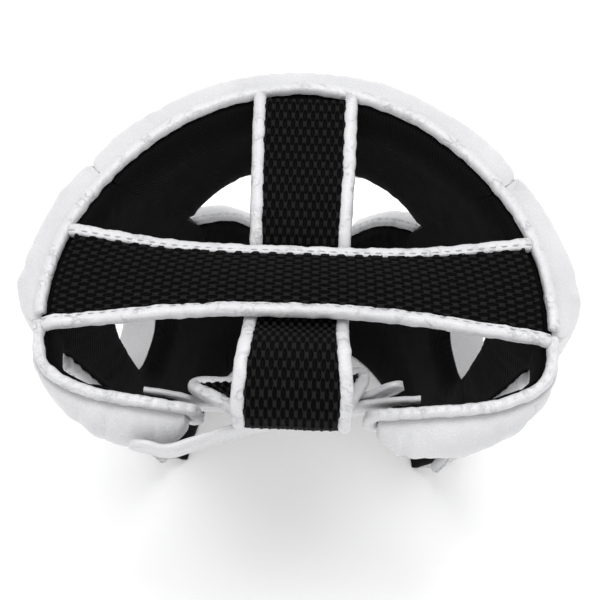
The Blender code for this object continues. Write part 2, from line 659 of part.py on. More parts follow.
def flap_point(share, across):
    """Point of the flap's middle layer: share runs from fold to inner edge, across from -1 to 1."""
    fold_y, fold_z = fold_end()
    half = CROWN_STRAP[-1][2] * CROWN_STRAP_WIDTH / 2
    outwards = np.where(np.asarray(across) < 0, FLAP_LEFT[0], FLAP_RIGHT[0])
    lean = (np.asarray(across) + 1) / 2
    reach = FLAP_LEFT[1] + (FLAP_RIGHT[1] - FLAP_LEFT[1]) * lean
    x = (half + outwards * share) * across
    y = fold_y + FLAP_START + reach * share
    z = fold_z - FLAP_START - FLAP_DROP * share**1.5
    return np.stack([x + 0 * y, y + 0 * x, z + 0 * x + 0 * y], -1)


def build_flap():
    """Rear flap: spacer mesh with one binding round its two slanted sides and inner edge."""
    inset_end = 1 - (STRAP_BINDING_WIDTH + 2 * FIT_GAP) / FLAP_LEFT[1]
    share = np.linspace(0, inset_end, 6)[:, None]
    half = np.linalg.norm(flap_point(share, 1.0) - flap_point(share, -1.0), axis=-1) / 2
    inset = 1 - (STRAP_BINDING_WIDTH + 2 * FIT_GAP) * FLAP_SLANT / half
    across = np.linspace(-1, 1, 7)[None, :] * inset
    layered("rear_flap", flap_point(share, across), STRAP_THICKNESS, BLACK_MESH)
    line = 1 - STRAP_BINDING_WIDTH / 2 / FLAP_LEFT[1]
    down = np.linspace(0, line, 6)
    edge_half = np.linalg.norm(flap_point(down, 1.0) - flap_point(down, -1.0), axis=-1) / 2
    edge_inset = 1 - STRAP_BINDING_WIDTH / 2 * FLAP_SLANT / edge_half
    left = flap_point(down, -edge_inset)
    right = flap_point(down, edge_inset)[::-1]
    inner = flap_point(np.full(7, line), np.linspace(-1, 1, 7) * edge_inset[-1] * FLAP_CORNER)
    path = smooth_path(np.concatenate([left[:-1], inner, right[1:]]), 26)
    upwards = np.array([0, 0, 1.0]) + 0 * path
    sweep("flap_binding", path, upwards, STRAP_BINDING_HEIGHT, STRAP_BINDING_WIDTH,
          WHITE_LEATHER)


def on_panel(rows, depth, side):
    """Places on a rear panel, at a depth outwards from the seam surface."""
    turn, share = np.array(rows).T
    height = share * GUARD_HEIGHT
    return mirrored(head_point(turn, height) + head_normal(turn, height) * depth, side)


def under_flap(rows):
    """Places between the rear panels, from the fold of the crown strap."""
    sideways, forwards, upwards = np.array(rows).T
    return np.stack([sideways * HALF_WIDTH, front_edge() - CROWN_LENGTH + forwards * HALF_WIDTH,
                     upwards * GUARD_HEIGHT], -1)


def build_closure(name, knots):
    """One closure strap: an upright ribbon with a round free end."""
    path = smooth_path(knots, 18)
    to_end = np.linalg.norm(path - path[-1], axis=1) / (CLOSURE_WIDTH / 2)
    round_end = np.maximum(rounded(to_end, 1), CLOSURE_BLUNT)
    v = np.linspace(-1, 1, 4)[None, :, None]
    lean = math.radians(CLOSURE_LEAN)
    upwards = np.array([0, -math.sin(lean), math.cos(lean)])
    surface = path[:, None] + v * round_end[:, None, None] * upwards * CLOSURE_WIDTH / 2
    layered(name, surface, CLOSURE_THICKNESS, WHITE_LEATHER)


def build_closures():
    """The strap that ends on the left panel's face, and the one that ends inside the right."""
    inside = -(REAR_LINING_THICKNESS + FIT_GAP + CLOSURE_THICKNESS / 2)
    outside = REAR_PAD_THICKNESS + FIT_GAP + CLOSURE_THICKNESS / 2
    outer = [on_panel(OUTER_ROOT, inside, 1), under_flap(OUTER_BRIDGE),
             on_panel(OUTER_TAB, outside, -1)]
    inner = [on_panel(INNER_ROOT, inside, -1), under_flap(INNER_BRIDGE)]
    build_closure("outer_closure_strap", np.concatenate(outer))
    build_closure("inner_closure_strap", np.concatenate(inner))


def remove_everything():
    """Empties the scene."""
    for found in list(bpy.data.objects):
        bpy.data.objects.remove(found, do_unlink=True)


def centre():
    """Moves the pieces so that their common box is centred on the Z axis."""
    corners = [vertex.co for made in bpy.data.objects for vertex in made.data.vertices]
    points = np.array(corners)
    middle = (points.min(axis=0) + points.max(axis=0)) / 2
    for made in bpy.data.objects:
        for vertex in made.data.vertices:
            vertex.co.x -= middle[0]
            vertex.co.y -= middle[1]


def main():
    """Builds the head guard."""
    remove_everything()
    build_forehead()
    for side in (1, -1):
        build_side(side)
        build_cheek(side)
        build_rear(side)
    build_bindings()
    build_crown_strap()
    build_cross_strap()
    build_flap()
    build_closures()
    centre()


main()
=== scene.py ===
"""Sparring head guard in white padded leather with black lining and spacer mesh crown straps.

Metres, +Z up. The face opening looks along +Y and the rear closure lies at -Y. A point of the
seam surface between leather pads and lining is named by a turn in degrees (0 at the middle of
the face, 90 at the ear line, 180 at the nape) and a height above the floor.
"""

import logging
import math
from collections.abc import Callable
from dataclasses import dataclass
from enum import Enum

import bpy
import numpy as np
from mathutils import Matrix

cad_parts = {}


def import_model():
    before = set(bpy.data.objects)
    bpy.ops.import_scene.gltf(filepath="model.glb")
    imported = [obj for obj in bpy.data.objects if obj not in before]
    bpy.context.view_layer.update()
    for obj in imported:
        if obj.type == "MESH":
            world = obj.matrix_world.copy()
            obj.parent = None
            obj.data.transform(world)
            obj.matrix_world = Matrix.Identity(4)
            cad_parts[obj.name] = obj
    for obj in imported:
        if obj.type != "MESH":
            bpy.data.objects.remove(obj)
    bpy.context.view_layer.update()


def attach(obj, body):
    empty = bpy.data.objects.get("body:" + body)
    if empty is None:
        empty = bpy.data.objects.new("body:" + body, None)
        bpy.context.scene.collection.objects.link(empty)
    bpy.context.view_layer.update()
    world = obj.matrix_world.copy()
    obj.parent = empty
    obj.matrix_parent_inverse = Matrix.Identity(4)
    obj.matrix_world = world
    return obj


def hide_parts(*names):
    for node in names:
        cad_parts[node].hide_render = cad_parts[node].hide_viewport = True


LOG = logging.getLogger("head_guard")
MM = 0.001
BODY = "root"
Grid = np.ndarray
Table = tuple[tuple[float, ...], ...]
Shade = tuple[float, float, float]
Place = tuple[float, float, float]

GUARD_HEIGHT = 190 * MM
HALF_WIDTH = 98.5 * MM
FRONT_REACH = 126 * MM
REAR_REACH = 28 * MM
EAR_LINE_Y = -46.96 * MM  # the ear line's place along Y
REAR_SQUARENESS = 3.5
EAR_LINE = 90
JAW_ROLL = 9 * MM  # how far the lower edges curl in at the floor
JAW_ROLL_HEIGHT = 27 * MM  # height at which the curl starts
# Height as a share of GUARD_HEIGHT, then half width, front and rear reach as shares of their
# sizes, and the superellipse exponent in front.
SECTIONS: Table = (
    (0.00, 0.67, 0.94, 0.30, 2.2),
    (0.16, 0.69, 0.98, 0.30, 2.4),
    (0.37, 0.755, 1.00, 0.30, 2.5),
    (0.50, 0.81, 0.99, 0.34, 2.5),
    (0.64, 0.885, 0.955, 0.46, 2.4),
    (0.79, 0.95, 0.92, 0.80, 2.2),
    (0.92, 0.99, 0.88, 1.00, 2.05),
    (1.00, 1.00, 0.865, 1.04, 2.0),
)
# Edge lines: turn against height as a share of GUARD_HEIGHT.
TOP_EDGE: Table = ((0, 1.00), (25, 0.981), (40, 0.962), (53, 0.953), (70, 0.947), (85, 0.930),
                   (92, 0.908), (120, 0.886), (145, 0.868), (171, 0.888))
BROW_EDGE: Table = ((0, 0.640), (12, 0.632), (24, 0.590), (34, 0.540))
CHEEK_EDGE: Table = ((8, 0.385), (14, 0.420), (22, 0.478), (34, 0.528))
NAPE_EDGE: Table = ((87, 0.785), (102, 0.768), (120, 0.745), (140, 0.718), (171, 0.702))
# Seam lines: height as a share of GUARD_HEIGHT against turn.
TEMPLE_SEAM: Table = ((0.534, 34), (0.75, 44), (0.953, 53))
JAW_SEAM: Table = ((0.0, 38), (0.25, 37), (0.534, 34))
NECK_EDGE: Table = ((0.0, 69.5), (0.06, 74.0), (0.17, 78), (0.32, 81.5), (0.50, 84.5),
                    (0.74, 87.2), (0.76, 87.5), (0.908, 87.5))
SIDE_SEAM_ROWS = 64  # points of a side pad's outline along its temple and jaw seams
MOUTH_HALF_GAP = 19 * MM
CHEEK_CORNER = 4 * MM
CHEEK_BREADTH = 40 * MM
REAR_END_TURN = 171
LEFT_END_SHORTER = 4.4
REAR_END_ROUND = 0.62  # share of the panel's height that its rounded end gives up
REAR_ROUND_START = 0.6
REAR_FULL_START = 0.06  # place on the pad's fullness curve at its corner, and its run from there
REAR_FULL_RUN = 0.8
REAR_CREASES = (6 * MM, 11 * MM)  # seam lines before the panel's end
REAR_CREASE = 0.7 * MM
# Place from the rear panel's corner to its end, and the share of the pad's swelling there.
REAR_SWELL: Table = ((0.0, 0.15), (0.25, 0.30), (0.50, 0.70), (0.72, 1.0), (1.0, 1.0))
REAR_SPACING = 0.8
REAR_COLUMNS = 26
REAR_PAD_THICKNESS = 14 * MM
REAR_LINING_THICKNESS = 6 * MM
FREE_EDGE = 3.6 * MM  # a pad's thickness at its free edge
# Distances at which a pad is full: from a free edge, a rear panel's edge, an ear hole, a seam.
EDGE_ROUND = 15 * MM
REAR_ROUND = 12 * MM
HOLE_ROUND = 9 * MM
SEAM_ROUND = 8 * MM
SEAM_DIP = 0.3  # share of the fullness that is lost at a seam
# The side pads thin out behind this turn and above this share of GUARD_HEIGHT.
CORNER_TURN = 79
CORNER_FOOT = 0.50
CORNER_THIN = 1.2
CORNER_THINNEST = 0.6
EAR_TURN = 66.5
EAR_SQUARENESS = 2.6
EAR_RIM = 15 * MM
EAR_HEIGHT = 92 * MM
EAR_HALF_LENGTH = 21 * MM
EAR_HALF_HEIGHT = 29 * MM
FULLNESS_POWER = 0.45
FIT_GAP = 0.3 * MM
SEAM_GAP = 0.02 * MM
CORNER_GAP = 0.6 * MM
BINDING_HEIGHT = 5.4 * MM
BINDING_WIDTH = 4.4 * MM
CHEEK_BINDING = 3.2 * MM
PAD_EDGE = 6 * MM
LINING_EDGE = 3.5 * MM

CROSS_STRAP_WIDTH = 44 * MM
CROWN_STRAP_WIDTH = 42 * MM
CROWN_LENGTH = 145 * MM
CROWN_DIP = 16 * MM
CROSS_PLACE = 0.54
STRAP_TURNS = (40, 91)  # turns of the top binding between which the cross strap ends
STRAP_THICKNESS = 4.2 * MM
STRAP_BINDING = 5.2 * MM
MESH_INSET = 0.8  # from a strap's edge to its mesh, as a share of the binding
STRAP_END = 4 * MM  # how far the strap bindings run on under the top binding
STRAP_SINK = 1.2 * MM
STRAP_STITCH = -0.35  # place of a strap binding's stitches across it, -1 to 1
# Crown strap: place along CROWN_LENGTH, drop as a share of CROWN_DIP, width as a share.
CROWN_STRAP: Table = (
    (0.000, 0.29, 1.00), (0.146, 0.71, 0.99), (0.291, 1.04, 0.97), (0.375, 1.36, 0.95),
    (0.430, 1.62, 0.94), (0.505, 1.40, 0.94), (0.585, 1.28, 0.94), (0.660, 1.24, 0.95),
    (0.705, 1.08, 0.96), (0.745, 0.80, 0.97), (0.795, 0.60, 1.00), (0.845, 0.66, 1.04),
    (0.895, 0.86, 1.07), (0.925, 1.10, 1.08), (0.940, 1.30, 1.07), (0.947, 1.50, 1.06),
    (0.947, 1.68, 1.06), (0.936, 1.84, 1.06), (0.916, 1.90, 1.06),
)
# Cross strap, middle to end: place, front and rear edge as shares of its width, drops of both
# edges and arch as shares of CROWN_DIP.
CROSS_STRAP: Table = (
    (0.00, 0.360, -0.450, 1.25, 0.84, 0.16),
    (0.25, 0.350, -0.460, 1.22, 0.84, 0.16),
    (0.50, 0.345, -0.500, 1.12, 0.86, 0.13),
    (0.75, 0.370, -0.560, 0.93, 0.93, 0.07),
    (1.00, 0.410, -0.610, 0.72, 1.05, 0.00),
)
# The flap's inner corners, outwards and forwards from the fold's end.
FLAP_LEFT = (28 * MM, 19 * MM)
FLAP_RIGHT = (10 * MM, 29 * MM)
FLAP_DROP = 9.8 * MM
FLAP_CURVE = 1.5
FLAP_START = 2.6 * MM
FLAP_SLANT = 1.45
FLAP_CORNER = 0.9
CLOSURE_WIDTH = 17 * MM
CLOSURE_THICKNESS = 3.4 * MM
CLOSURE_LEAN = 18
# Closure straps: on a panel by turn and by height as a share of GUARD_HEIGHT; under the flap
# from the crown strap's fold, sideways and forwards as shares of HALF_WIDTH, upwards as before.
OUTER_ROOT: Table = ((161, 0.760), (167, 0.745))
OUTER_BRIDGE: Table = (
    (0.270, 0.298, 0.738), (0.150, 0.262, 0.741), (0.000, 0.222, 0.749),
    (-0.180, 0.170, 0.757), (-0.330, 0.090, 0.775),
)
OUTER_TAB: Table = ((164, 0.805), (159, 0.820), (154, 0.826))
INNER_ROOT: Table = ((153, 0.738), (159, 0.732))
INNER_BRIDGE: Table = (
    (-0.365, 0.310, 0.722), (-0.180, 0.306, 0.724), (0.000, 0.312, 0.726),
    (0.180, 0.330, 0.728), (0.280, 0.345, 0.734), (0.335, 0.352, 0.750),
    (0.385, 0.354, 0.770), (0.425, 0.356, 0.782),
)

CURVE_STEPS = 12  # straight steps between two knots of a curve
SINES = 7  # crossed sine waves in an octave of noise, and about the root of their number
SINES_ROOT = 2.6
BATCH = 4000  # points whose distances are taken at once


class Side(Enum):
    """Which side of the guard a piece lies on, as the sign of its X."""

    RIGHT = 1
    LEFT = -1

    def name_of(self, piece: str) -> str:
        """Name of a piece with its side."""
        return f"{piece}_{self.name.lower()}"


def table_at(places: Grid | float, rows: Table, column: int) -> Grid:
    """Values of a table's column on a smooth monotone curve through its rows.

    Args:
        places: where to read, in the units of the table's first column.
        rows: the table, its first column rising.
        column: which column to read.

    Returns:
        Cubic Hermite values whose slopes are the harmonic means of the neighbouring steps.
    """
    table = np.array(rows, float)
    xs, ys = table[:, 0], table[:, column]
    slopes = np.diff(ys) / np.diff(xs)
    tangents = np.concatenate([slopes[:1], np.zeros(len(ys) - 2), slopes[-1:]])
    total = slopes[:-1] + slopes[1:]
    total[total == 0] = 1.0
    same_way = slopes[:-1] * slopes[1:] > 0
    tangents[1:-1] = np.where(same_way, 2 * slopes[:-1] * slopes[1:] / total, 0.0)
    at = np.clip(np.asarray(places, float), xs[0], xs[-1])
    cell = np.clip(np.searchsorted(xs, at, side="right") - 1, 0, len(xs) - 2)
    width = xs[cell + 1] - xs[cell]
    s = (at - xs[cell]) / width
    return ((2 * s**3 - 3 * s**2 + 1) * ys[cell] + (s**3 - 2 * s**2 + s) * width * tangents[cell]
            + (-2 * s**3 + 3 * s**2) * ys[cell + 1] + (s**3 - s**2) * width * tangents[cell + 1])


def head_point(turn: Grid, height: Grid) -> Grid:
    """Points of the seam surface.

    Each level is a superellipse: x = half width * |sin|^p and y = reach * |cos|^p, drawn in
    towards the Z axis near the floor, where the jaws' lower edges curl.

    Args:
        turn: degrees from the middle of the face, negative on the left.
        height: metres above the floor.

    Returns:
        Points along a last axis of three.
    """
    turn, height = np.broadcast_arrays(np.asarray(turn, float), np.asarray(height, float))
    share = height / GUARD_HEIGHT
    half, front, rear, square = (table_at(share, SECTIONS, column) for column in range(1, 5))
    angle = np.radians(turn)
    ahead = np.abs(turn) <= 90
    power = np.where(ahead, 2 / square, 2 / REAR_SQUARENESS)
    reach = np.where(ahead, front * FRONT_REACH, -rear * REAR_REACH)
    x = np.sign(np.sin(angle)) * half * HALF_WIDTH * np.abs(np.sin(angle)) ** power
    radial = np.stack([x, reach * np.abs(np.cos(angle)) ** power, 0 * x], -1)
    curl = JAW_ROLL * np.clip(1 - height / JAW_ROLL_HEIGHT, 0, 1) ** 2
    length = np.maximum(np.linalg.norm(radial, axis=-1, keepdims=True), MM)
    return radial * (1 - curl[..., None] / length) + np.stack(
        [0 * x, 0 * x + EAR_LINE_Y, height], -1)


def unit(vectors: Grid) -> Grid:
    """The same vectors at length one."""
    return vectors / np.maximum(np.linalg.norm(vectors, axis=-1, keepdims=True), 1e-12)


def normals(surface: Grid) -> Grid:
    """Unit normals of a surface given as a grid of points."""
    return unit(np.cross(np.gradient(surface, axis=0), np.gradient(surface, axis=1)))


def head_normal(turn: Grid, height: Grid) -> Grid:
    """Outward unit normals of the seam surface, from small steps along it."""
    step, rise = 0.4, 0.6 * MM
    along = head_point(turn + step, height) - head_point(turn - step, height)
    up = head_point(turn, height + rise) - head_point(turn, height - rise)
    return unit(np.cross(up, along))


def edge_height(turn: Grid, rows: Table) -> Grid:
    """Height of an edge line at a turn."""
    return table_at(np.abs(turn), rows, 1) * GUARD_HEIGHT


def edge_turn(height: Grid, rows: Table) -> Grid:
    """Turn of a seam line at a height."""
    return table_at(np.asarray(height) / GUARD_HEIGHT, rows, 1)


def top_of_pads(turn: Grid) -> Grid:
    """Upper edge of the pads, under the binding that caps them."""
    return edge_height(turn, TOP_EDGE) - BINDING_HEIGHT - FIT_GAP


def eased(count: int) -> Grid:
    """Shares from 0 to 1, closer together towards both ends."""
    return 0.5 - 0.5 * np.cos(np.pi * np.arange(count + 1) / count)


def plump(share: Grid) -> Grid:
    """Fullness across a pad, 0 at both edges and 1 in the middle."""
    return np.clip(4 * share * (1 - share), 0, 1) ** FULLNESS_POWER


def rounded(distance: Grid, radius: float) -> Grid:
    """Quarter circle from 0 at an edge to 1 at a radius from it."""
    return np.sqrt(1 - (1 - np.clip(distance / radius, 0, 1)) ** 2)


def beside_seam(distance: Grid) -> Grid:
    """Fullness beside a seam between pads, from the distance to it."""
    return 1 - SEAM_DIP * (1 - rounded(distance, SEAM_ROUND))


def nearest(points: Grid, line: Grid) -> Grid:
    """Distance from each point of a grid to the nearest point of a densely marked line."""
    flat = points.reshape(-1, points.shape[-1])
    found = [np.linalg.norm(part[:, None] - line, axis=-1).min(axis=1)
             for part in np.array_split(flat, max(1, len(flat) // BATCH))]
    return np.concatenate(found).reshape(points.shape[:-1])


def lengthened(path: Grid, start: float, end: float, drop: float) -> Grid:
    """The path run on straight at its start and end, sinking by a drop as it goes."""
    first = path[:1] + unit(path[:1] - path[1:2]) * start - np.array([0, 0, drop])
    last = path[-1:] + unit(path[-1:] - path[-2:-1]) * end - np.array([0, 0, drop])
    return np.concatenate(([first] if start else []) + [path] + ([last] if end else []))


def smooth_path(points: Grid, count: int) -> Grid:
    """Evenly spaced points on a Catmull-Rom curve through the given ones.

    Args:
        points: the curve's knots; the first three columns are a place, any others follow it.
        count: how many points to return.

    Returns:
        The points, with the same columns.
    """
    knots = np.asarray(points, float)
    ends = np.concatenate([2 * knots[:1] - knots[1:2], knots, 2 * knots[-1:] - knots[-2:-1]])
    s = np.linspace(0, 1, CURVE_STEPS + 1)[:-1, None]
    fine = [0.5 * (2 * p1 + (p2 - p0) * s + (2 * p0 - 5 * p1 + 4 * p2 - p3) * s**2
                   + (3 * p1 - p0 - 3 * p2 + p3) * s**3)
            for p0, p1, p2, p3 in zip(ends[:-3], ends[1:-2], ends[2:-1], ends[3:])]
    curve = np.concatenate([*fine, knots[-1:]])
    along = lengths_along(curve)
    return read_at(np.linspace(0, along[-1], count), along, curve)


def lengths_along(path: Grid) -> Grid:
    """Distance from the path's start at each of its points."""
    steps = np.linalg.norm(np.diff(path[:, :3], axis=0), axis=1)
    return np.concatenate([[0], np.cumsum(steps)])


def read_at(at: Grid, along: Grid, rows: Grid) -> Grid:
    """Rows of values read at distances along a path by linear interpolation."""
    return np.stack([np.interp(at, along, column) for column in rows.T], -1)


def ripples(along: Grid, across: Grid, wave: float, seed: int, octaves: int = 3) -> Grid:
    """Smooth noise from crossed sine waves.

    Args:
        along: first coordinate in metres.
        across: second coordinate in metres.
        wave: longest wavelength in metres.
        seed: seed of the waves' directions and phases.
        octaves: how many halvings of the wavelength are added.

    Returns:
        Values of about -1 to 1: the sum of seven sines per octave over their number's root.
    """
    draw = np.random.default_rng(seed)
    total = np.zeros(np.broadcast(along, across).shape)
    scale = 0.0
    for octave in range(octaves):
        weight = 0.5**octave
        for _ in range(SINES):
            angle, phase = draw.uniform(0, 2 * np.pi, 2)
            step = 2 * np.pi * 2**octave / wave * draw.uniform(0.7, 1.3)
            total += weight * np.sin(step * (along * np.cos(angle) + across * np.sin(angle))
                                     + phase)
        scale += weight
    return total / (scale * SINES_ROOT)


@dataclass(frozen=True)
class Puckers:
    """Folds that run away from a seam and die out."""

    pitch: float  # usual distance between folds
    reach: float  # distance from the seam at which they have mostly gone
    lean: float = 0.35
    lean_wave: float = 30 * MM
    bend: float = 2.2
    sharpness: float = 0.7
    level: float = 0.75
    strength: float = 0.45
    variety: float = 0.75
    strongest: float = 1.2
    variety_wave: float = 40 * MM

    def at(self, along: Grid, distance: Grid, seed: int) -> Grid:
        """Heights of about -1 to 0.5, from metres along the seam and from it."""
        lean = self.lean * distance * ripples(along, distance, self.lean_wave, seed)
        phase = 2 * np.pi * (along + lean) / self.pitch
        bend = self.bend * ripples(along, 0.2 * distance, 5 * self.pitch, seed + 1, 2)
        wave = np.abs(np.sin(phase / 2 + bend)) ** self.sharpness
        vary = self.variety * ripples(along, 0 * along, self.variety_wave, seed + 2, 2)
        strength = np.clip(self.strength + vary, 0, self.strongest)
        return (wave - self.level) * strength * np.exp(-distance / self.reach)


def quads(index: Grid) -> Grid:
    """Faces between the rows and columns of a grid of point numbers."""
    return np.stack([index[:-1, :-1], index[1:, :-1], index[1:, 1:], index[:-1, 1:]],
                    -1).reshape(-1, 4)


def tube_faces(count: int, sides: int) -> Grid:
    """Faces of a closed tube of rings, with caps of quads; sides is even."""
    index = np.arange(count * sides).reshape(count, sides)
    walls = quads(np.concatenate([index, index[:, :1]], 1))
    step = np.arange(sides // 2 - 1)
    cap = np.stack([step, step + 1, sides - 2 - step, sides - 1 - step], -1)
    return np.concatenate([walls, cap, (cap + index[-1, 0])[:, ::-1]])


def linked(name: str, data: bpy.types.ID) -> bpy.types.Object:
    """A new object of the scene."""
    made = bpy.data.objects.new(name, data)
    bpy.context.collection.objects.link(made)
    return made


@dataclass
class Skin:
    """Points, faces and per-point values that become one piece."""

    points: Grid
    faces: Grid
    uv: Grid | None = None
    relief: Grid | None = None

    def faced(self) -> "Skin":
        """The skin with its faces turned outwards, by the sign of the volume that they hold."""
        a, b, c, d = (self.points[self.faces[:, k]] for k in range(4))
        volume = np.einsum("ij,ij->", a, np.cross(b, c)) + np.einsum("ij,ij->", a, np.cross(c, d))
        faces = self.faces if volume > 0 else self.faces[:, ::-1]
        return Skin(self.points, faces, self.uv, self.relief)

    def piece(self, name: str, finish: bpy.types.Material, angle: float = 50) -> bpy.types.Object:
        """A new object from the skin.

        Args:
            name: the object's name.
            finish: its material.
            angle: edges sharper than this many degrees are shaded sharp.

        Returns:
            The object, linked to the scene and riding on the guard's one body.
        """
        mesh = bpy.data.meshes.new(name)
        mesh.from_pydata(self.points.tolist(), [], self.faces.tolist())
        if self.uv is not None:
            layer = mesh.uv_layers.new(name="flat")
            corner = np.empty(len(mesh.loops), int)
            mesh.loops.foreach_get("vertex_index", corner)
            layer.data.foreach_set("uv", self.uv[corner].astype(np.float32).ravel())
        if self.relief is not None:
            values = mesh.attributes.new("relief", "FLOAT", "POINT")
            values.data.foreach_set("value", self.relief.astype(np.float32).ravel())
        mesh.materials.append(finish)
        mesh.shade_smooth()
        mesh.set_sharp_from_angle(angle=math.radians(angle))
        made = linked(name, mesh)
        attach(made, BODY)
        LOG.info("%s: %d faces", name, len(mesh.polygons))
        return made


def shell(inner: Grid, outer: Grid, uv: Grid, ring: bool = False,
          relief: Grid | None = None) -> Skin:
    """Closed skin between two grids of points of the same shape.

    Args:
        inner: one side's points.
        outer: the other side's points.
        uv: flat place of each grid point, in metres.
        ring: whether the last row joins the first.
        relief: a value for each grid point, the same on both sides.

    Returns:
        The skin, facing out.
    """
    rows, columns = inner.shape[:2]
    count = rows * columns
    near = np.arange(count).reshape(rows, columns)
    side = quads(np.concatenate([near, near[:1]]) if ring else near)
    faces = [side[:, ::-1], side + count]
    rims = [(near[:, 0], 1), (near[:, -1], -1)] + ([] if ring else [(near[0], -1), (near[-1], 1)])
    for line, way in rims:
        line = np.append(line, line[0]) if ring else line
        faces.append(np.stack([line[:-1], line[1:], line[1:] + count, line[:-1] + count],
                              -1)[:, ::way])
    points = np.concatenate([inner.reshape(-1, 3), outer.reshape(-1, 3)])
    flat = np.concatenate([uv.reshape(-1, 2)] * 2)
    value = None if relief is None else np.concatenate([relief.ravel()] * 2)
    return Skin(points, np.concatenate(faces), flat, value).faced()


def arithmetic(operation: str) -> Callable[["Wire", "Wire | float"], "Wire"]:
    """A wire's method that adds a Math node of one operation."""
    return lambda self, other: self.maths(operation, other)


class Wire:
    """A shader socket's output, with arithmetic."""

    def __init__(self, graph: "Graph", socket: bpy.types.NodeSocket) -> None:
        """Keeps the socket and the graph that it is in."""
        self.graph = graph
        self.socket = socket

    def maths(self, operation: str, *others: "Wire | float") -> "Wire":
        """A Math node with this wire first."""
        values = {position: value for position, value in enumerate((self, *others))}
        return self.graph.node("ShaderNodeMath", {"operation": operation}, values)

    __add__ = __radd__ = arithmetic("ADD")
    __mul__ = __rmul__ = arithmetic("MULTIPLY")
    __sub__ = arithmetic("SUBTRACT")

    def __rsub__(self, other: float) -> "Wire":
        """Difference with a number first."""
        return (self * -1.0) + other

    def sine(self) -> "Wire":
        """Sine of the value in radians."""
        return self.maths("SINE")

    def within(self, low: float, high: float) -> "Wire":
        """0 below low, 1 above high and a smooth step between."""
        return self.graph.node("ShaderNodeMapRange", {"interpolation_type": "SMOOTHSTEP"},
                               {"Value": self, "From Min": low, "From Max": high})


class Graph:
    """A Principled material under construction."""

    def __init__(self, name: str) -> None:
        """Starts the material."""
        self.material = bpy.data.materials.new(name)
        self.material.use_nodes = True
        self.tree = self.material.node_tree
        self.shader = self.tree.nodes["Principled BSDF"]

    def node(self, kind: str, settings: dict[str, object], inputs: dict[str | int, object],
             output: str | int = 0) -> Wire:
        """A node of any type.

        Args:
            kind: the node's type.
            settings: its properties, set first.
            inputs: its sockets by name or place, each a wire or a value.
            output: the socket to return.

        Returns:
            The output as a wire.
        """
        made = self.tree.nodes.new(kind)
        for key, value in settings.items():
            setattr(made, key, value)
        for key, value in inputs.items():
            self.feed(made.inputs[key], value)
        return Wire(self, made.outputs[output])

    def feed(self, socket: bpy.types.NodeSocket, value: object) -> None:
        """Links a wire to a socket, or sets the socket's value."""
        if isinstance(value, Wire):
            self.tree.links.new(value.socket, socket)
        else:
            socket.default_value = value

    def place(self) -> Wire:
        """Object coordinates, in metres."""
        return self.node("ShaderNodeTexCoord", {}, {}, "Object")

    def flat(self) -> tuple[Wire, Wire]:
        """The two coordinates of the piece's own UV map, in metres."""
        uv = self.node("ShaderNodeUVMap", {"uv_map": "flat"}, {})
        parts = self.tree.nodes.new("ShaderNodeSeparateXYZ")
        self.feed(parts.inputs[0], uv)
        return Wire(self, parts.outputs[0]), Wire(self, parts.outputs[1])

    def noise(self, scale: float, detail: float = 2.0) -> Wire:
        """Smooth noise from 0 to 1 on object coordinates; scale is waves per metre."""
        return self.node("ShaderNodeTexNoise", {},
                         {"Vector": self.place(), "Scale": scale, "Detail": detail})

    def blend(self, share: Wire, low: Wire | Shade, high: Wire | Shade) -> Wire:
        """Colour between two by a share."""
        low, high = (end if isinstance(end, Wire) else (*end, 1) for end in (low, high))
        return self.node("ShaderNodeMix", {"data_type": "RGBA"}, {"Factor": share, 6: low, 7: high},
                         2)

    def bump(self, height: Wire, distance: float, strength: float = 1.0) -> None:
        """Height from 0 to 1 times distance in metres, into the shader's normal."""
        self.feed(self.shader.inputs["Normal"],
                  self.node("ShaderNodeBump", {}, {"Strength": strength, "Distance": distance,
                                                   "Height": height}))

    def surface(self, **values: object) -> None:
        """Sets or links sockets of the shader; an underscore stands for a space."""
        for key, value in values.items():
            self.feed(self.shader.inputs[key.replace("_", " ")], value)


@dataclass(frozen=True)
class Leather:
    """Coated leather with a fine pebbled grain; painted shade darkens its grooves and wrinkle
    lines.
    """

    name: str = "white_leather"
    light: Shade = (0.58, 0.58, 0.585)
    dark: Shade = (0.4, 0.4, 0.415)
    # crease: painted shade colour laid along the wrinkle lines
    crease: Shade = (0.28, 0.28, 0.29)
    grain: float = 1.1 * MM
    grain_height: float = 0.07 * MM
    roughness: float = 0.36
    fine_scale: float = 2600
    broad_scale: float = 38
    scuff_scale: float = 160
    wrinkle_scale: float = 60.0
    wrinkle_width: float = 0.018
    wrinkle_share: float = 0.1

    def build(self) -> bpy.types.Material:
        """The material."""
        graph = Graph(self.name)
        cells = graph.node("ShaderNodeTexVoronoi", {"feature": "DISTANCE_TO_EDGE"},
                           {"Vector": graph.place(), "Scale": 1 / self.grain,
                            "Randomness": 0.9})
        pebbles = cells.within(0.0, 0.35)
        fine = graph.noise(self.fine_scale)
        broad = graph.noise(self.broad_scale, 4)
        scuffs = graph.noise(self.scuff_scale, 3).within(0.42, 0.75)
        # Wrinkle lines: one mask for their bump and for the painted shade of the crease colour.
        ridge = (graph.noise(self.wrinkle_scale, 2) - 0.5).maths("ABSOLUTE")
        where = graph.noise(self.wrinkle_scale * 0.6, 1).within(0.45, 0.7)
        wrinkle_and_shade = (1 - ridge.within(0.0, self.wrinkle_width)) * where * self.wrinkle_share
        # Random broad tone, plus painted shade that darkens the grooves between pebbles.
        plain = graph.blend(broad * 0.75 + (1 - pebbles) * 0.25, self.light, self.dark)
        graph.surface(Base_Color=graph.blend(wrinkle_and_shade, plain, self.crease),
                      Roughness=self.roughness + 0.12 * broad + 0.08 * scuffs,
                      Coat_Weight=0.12, Coat_Roughness=0.3)
        graph.bump(pebbles * 0.8 + fine * 0.35 + (1 - wrinkle_and_shade) * 4.0, self.grain_height)
        return graph.material


CLOTH_SHINE = 0.06
RIB_SLANT = (0.8, 0.6)  # direction of the lining's ribs, and of the finer ones across them
RIB_RATIO = 1.9


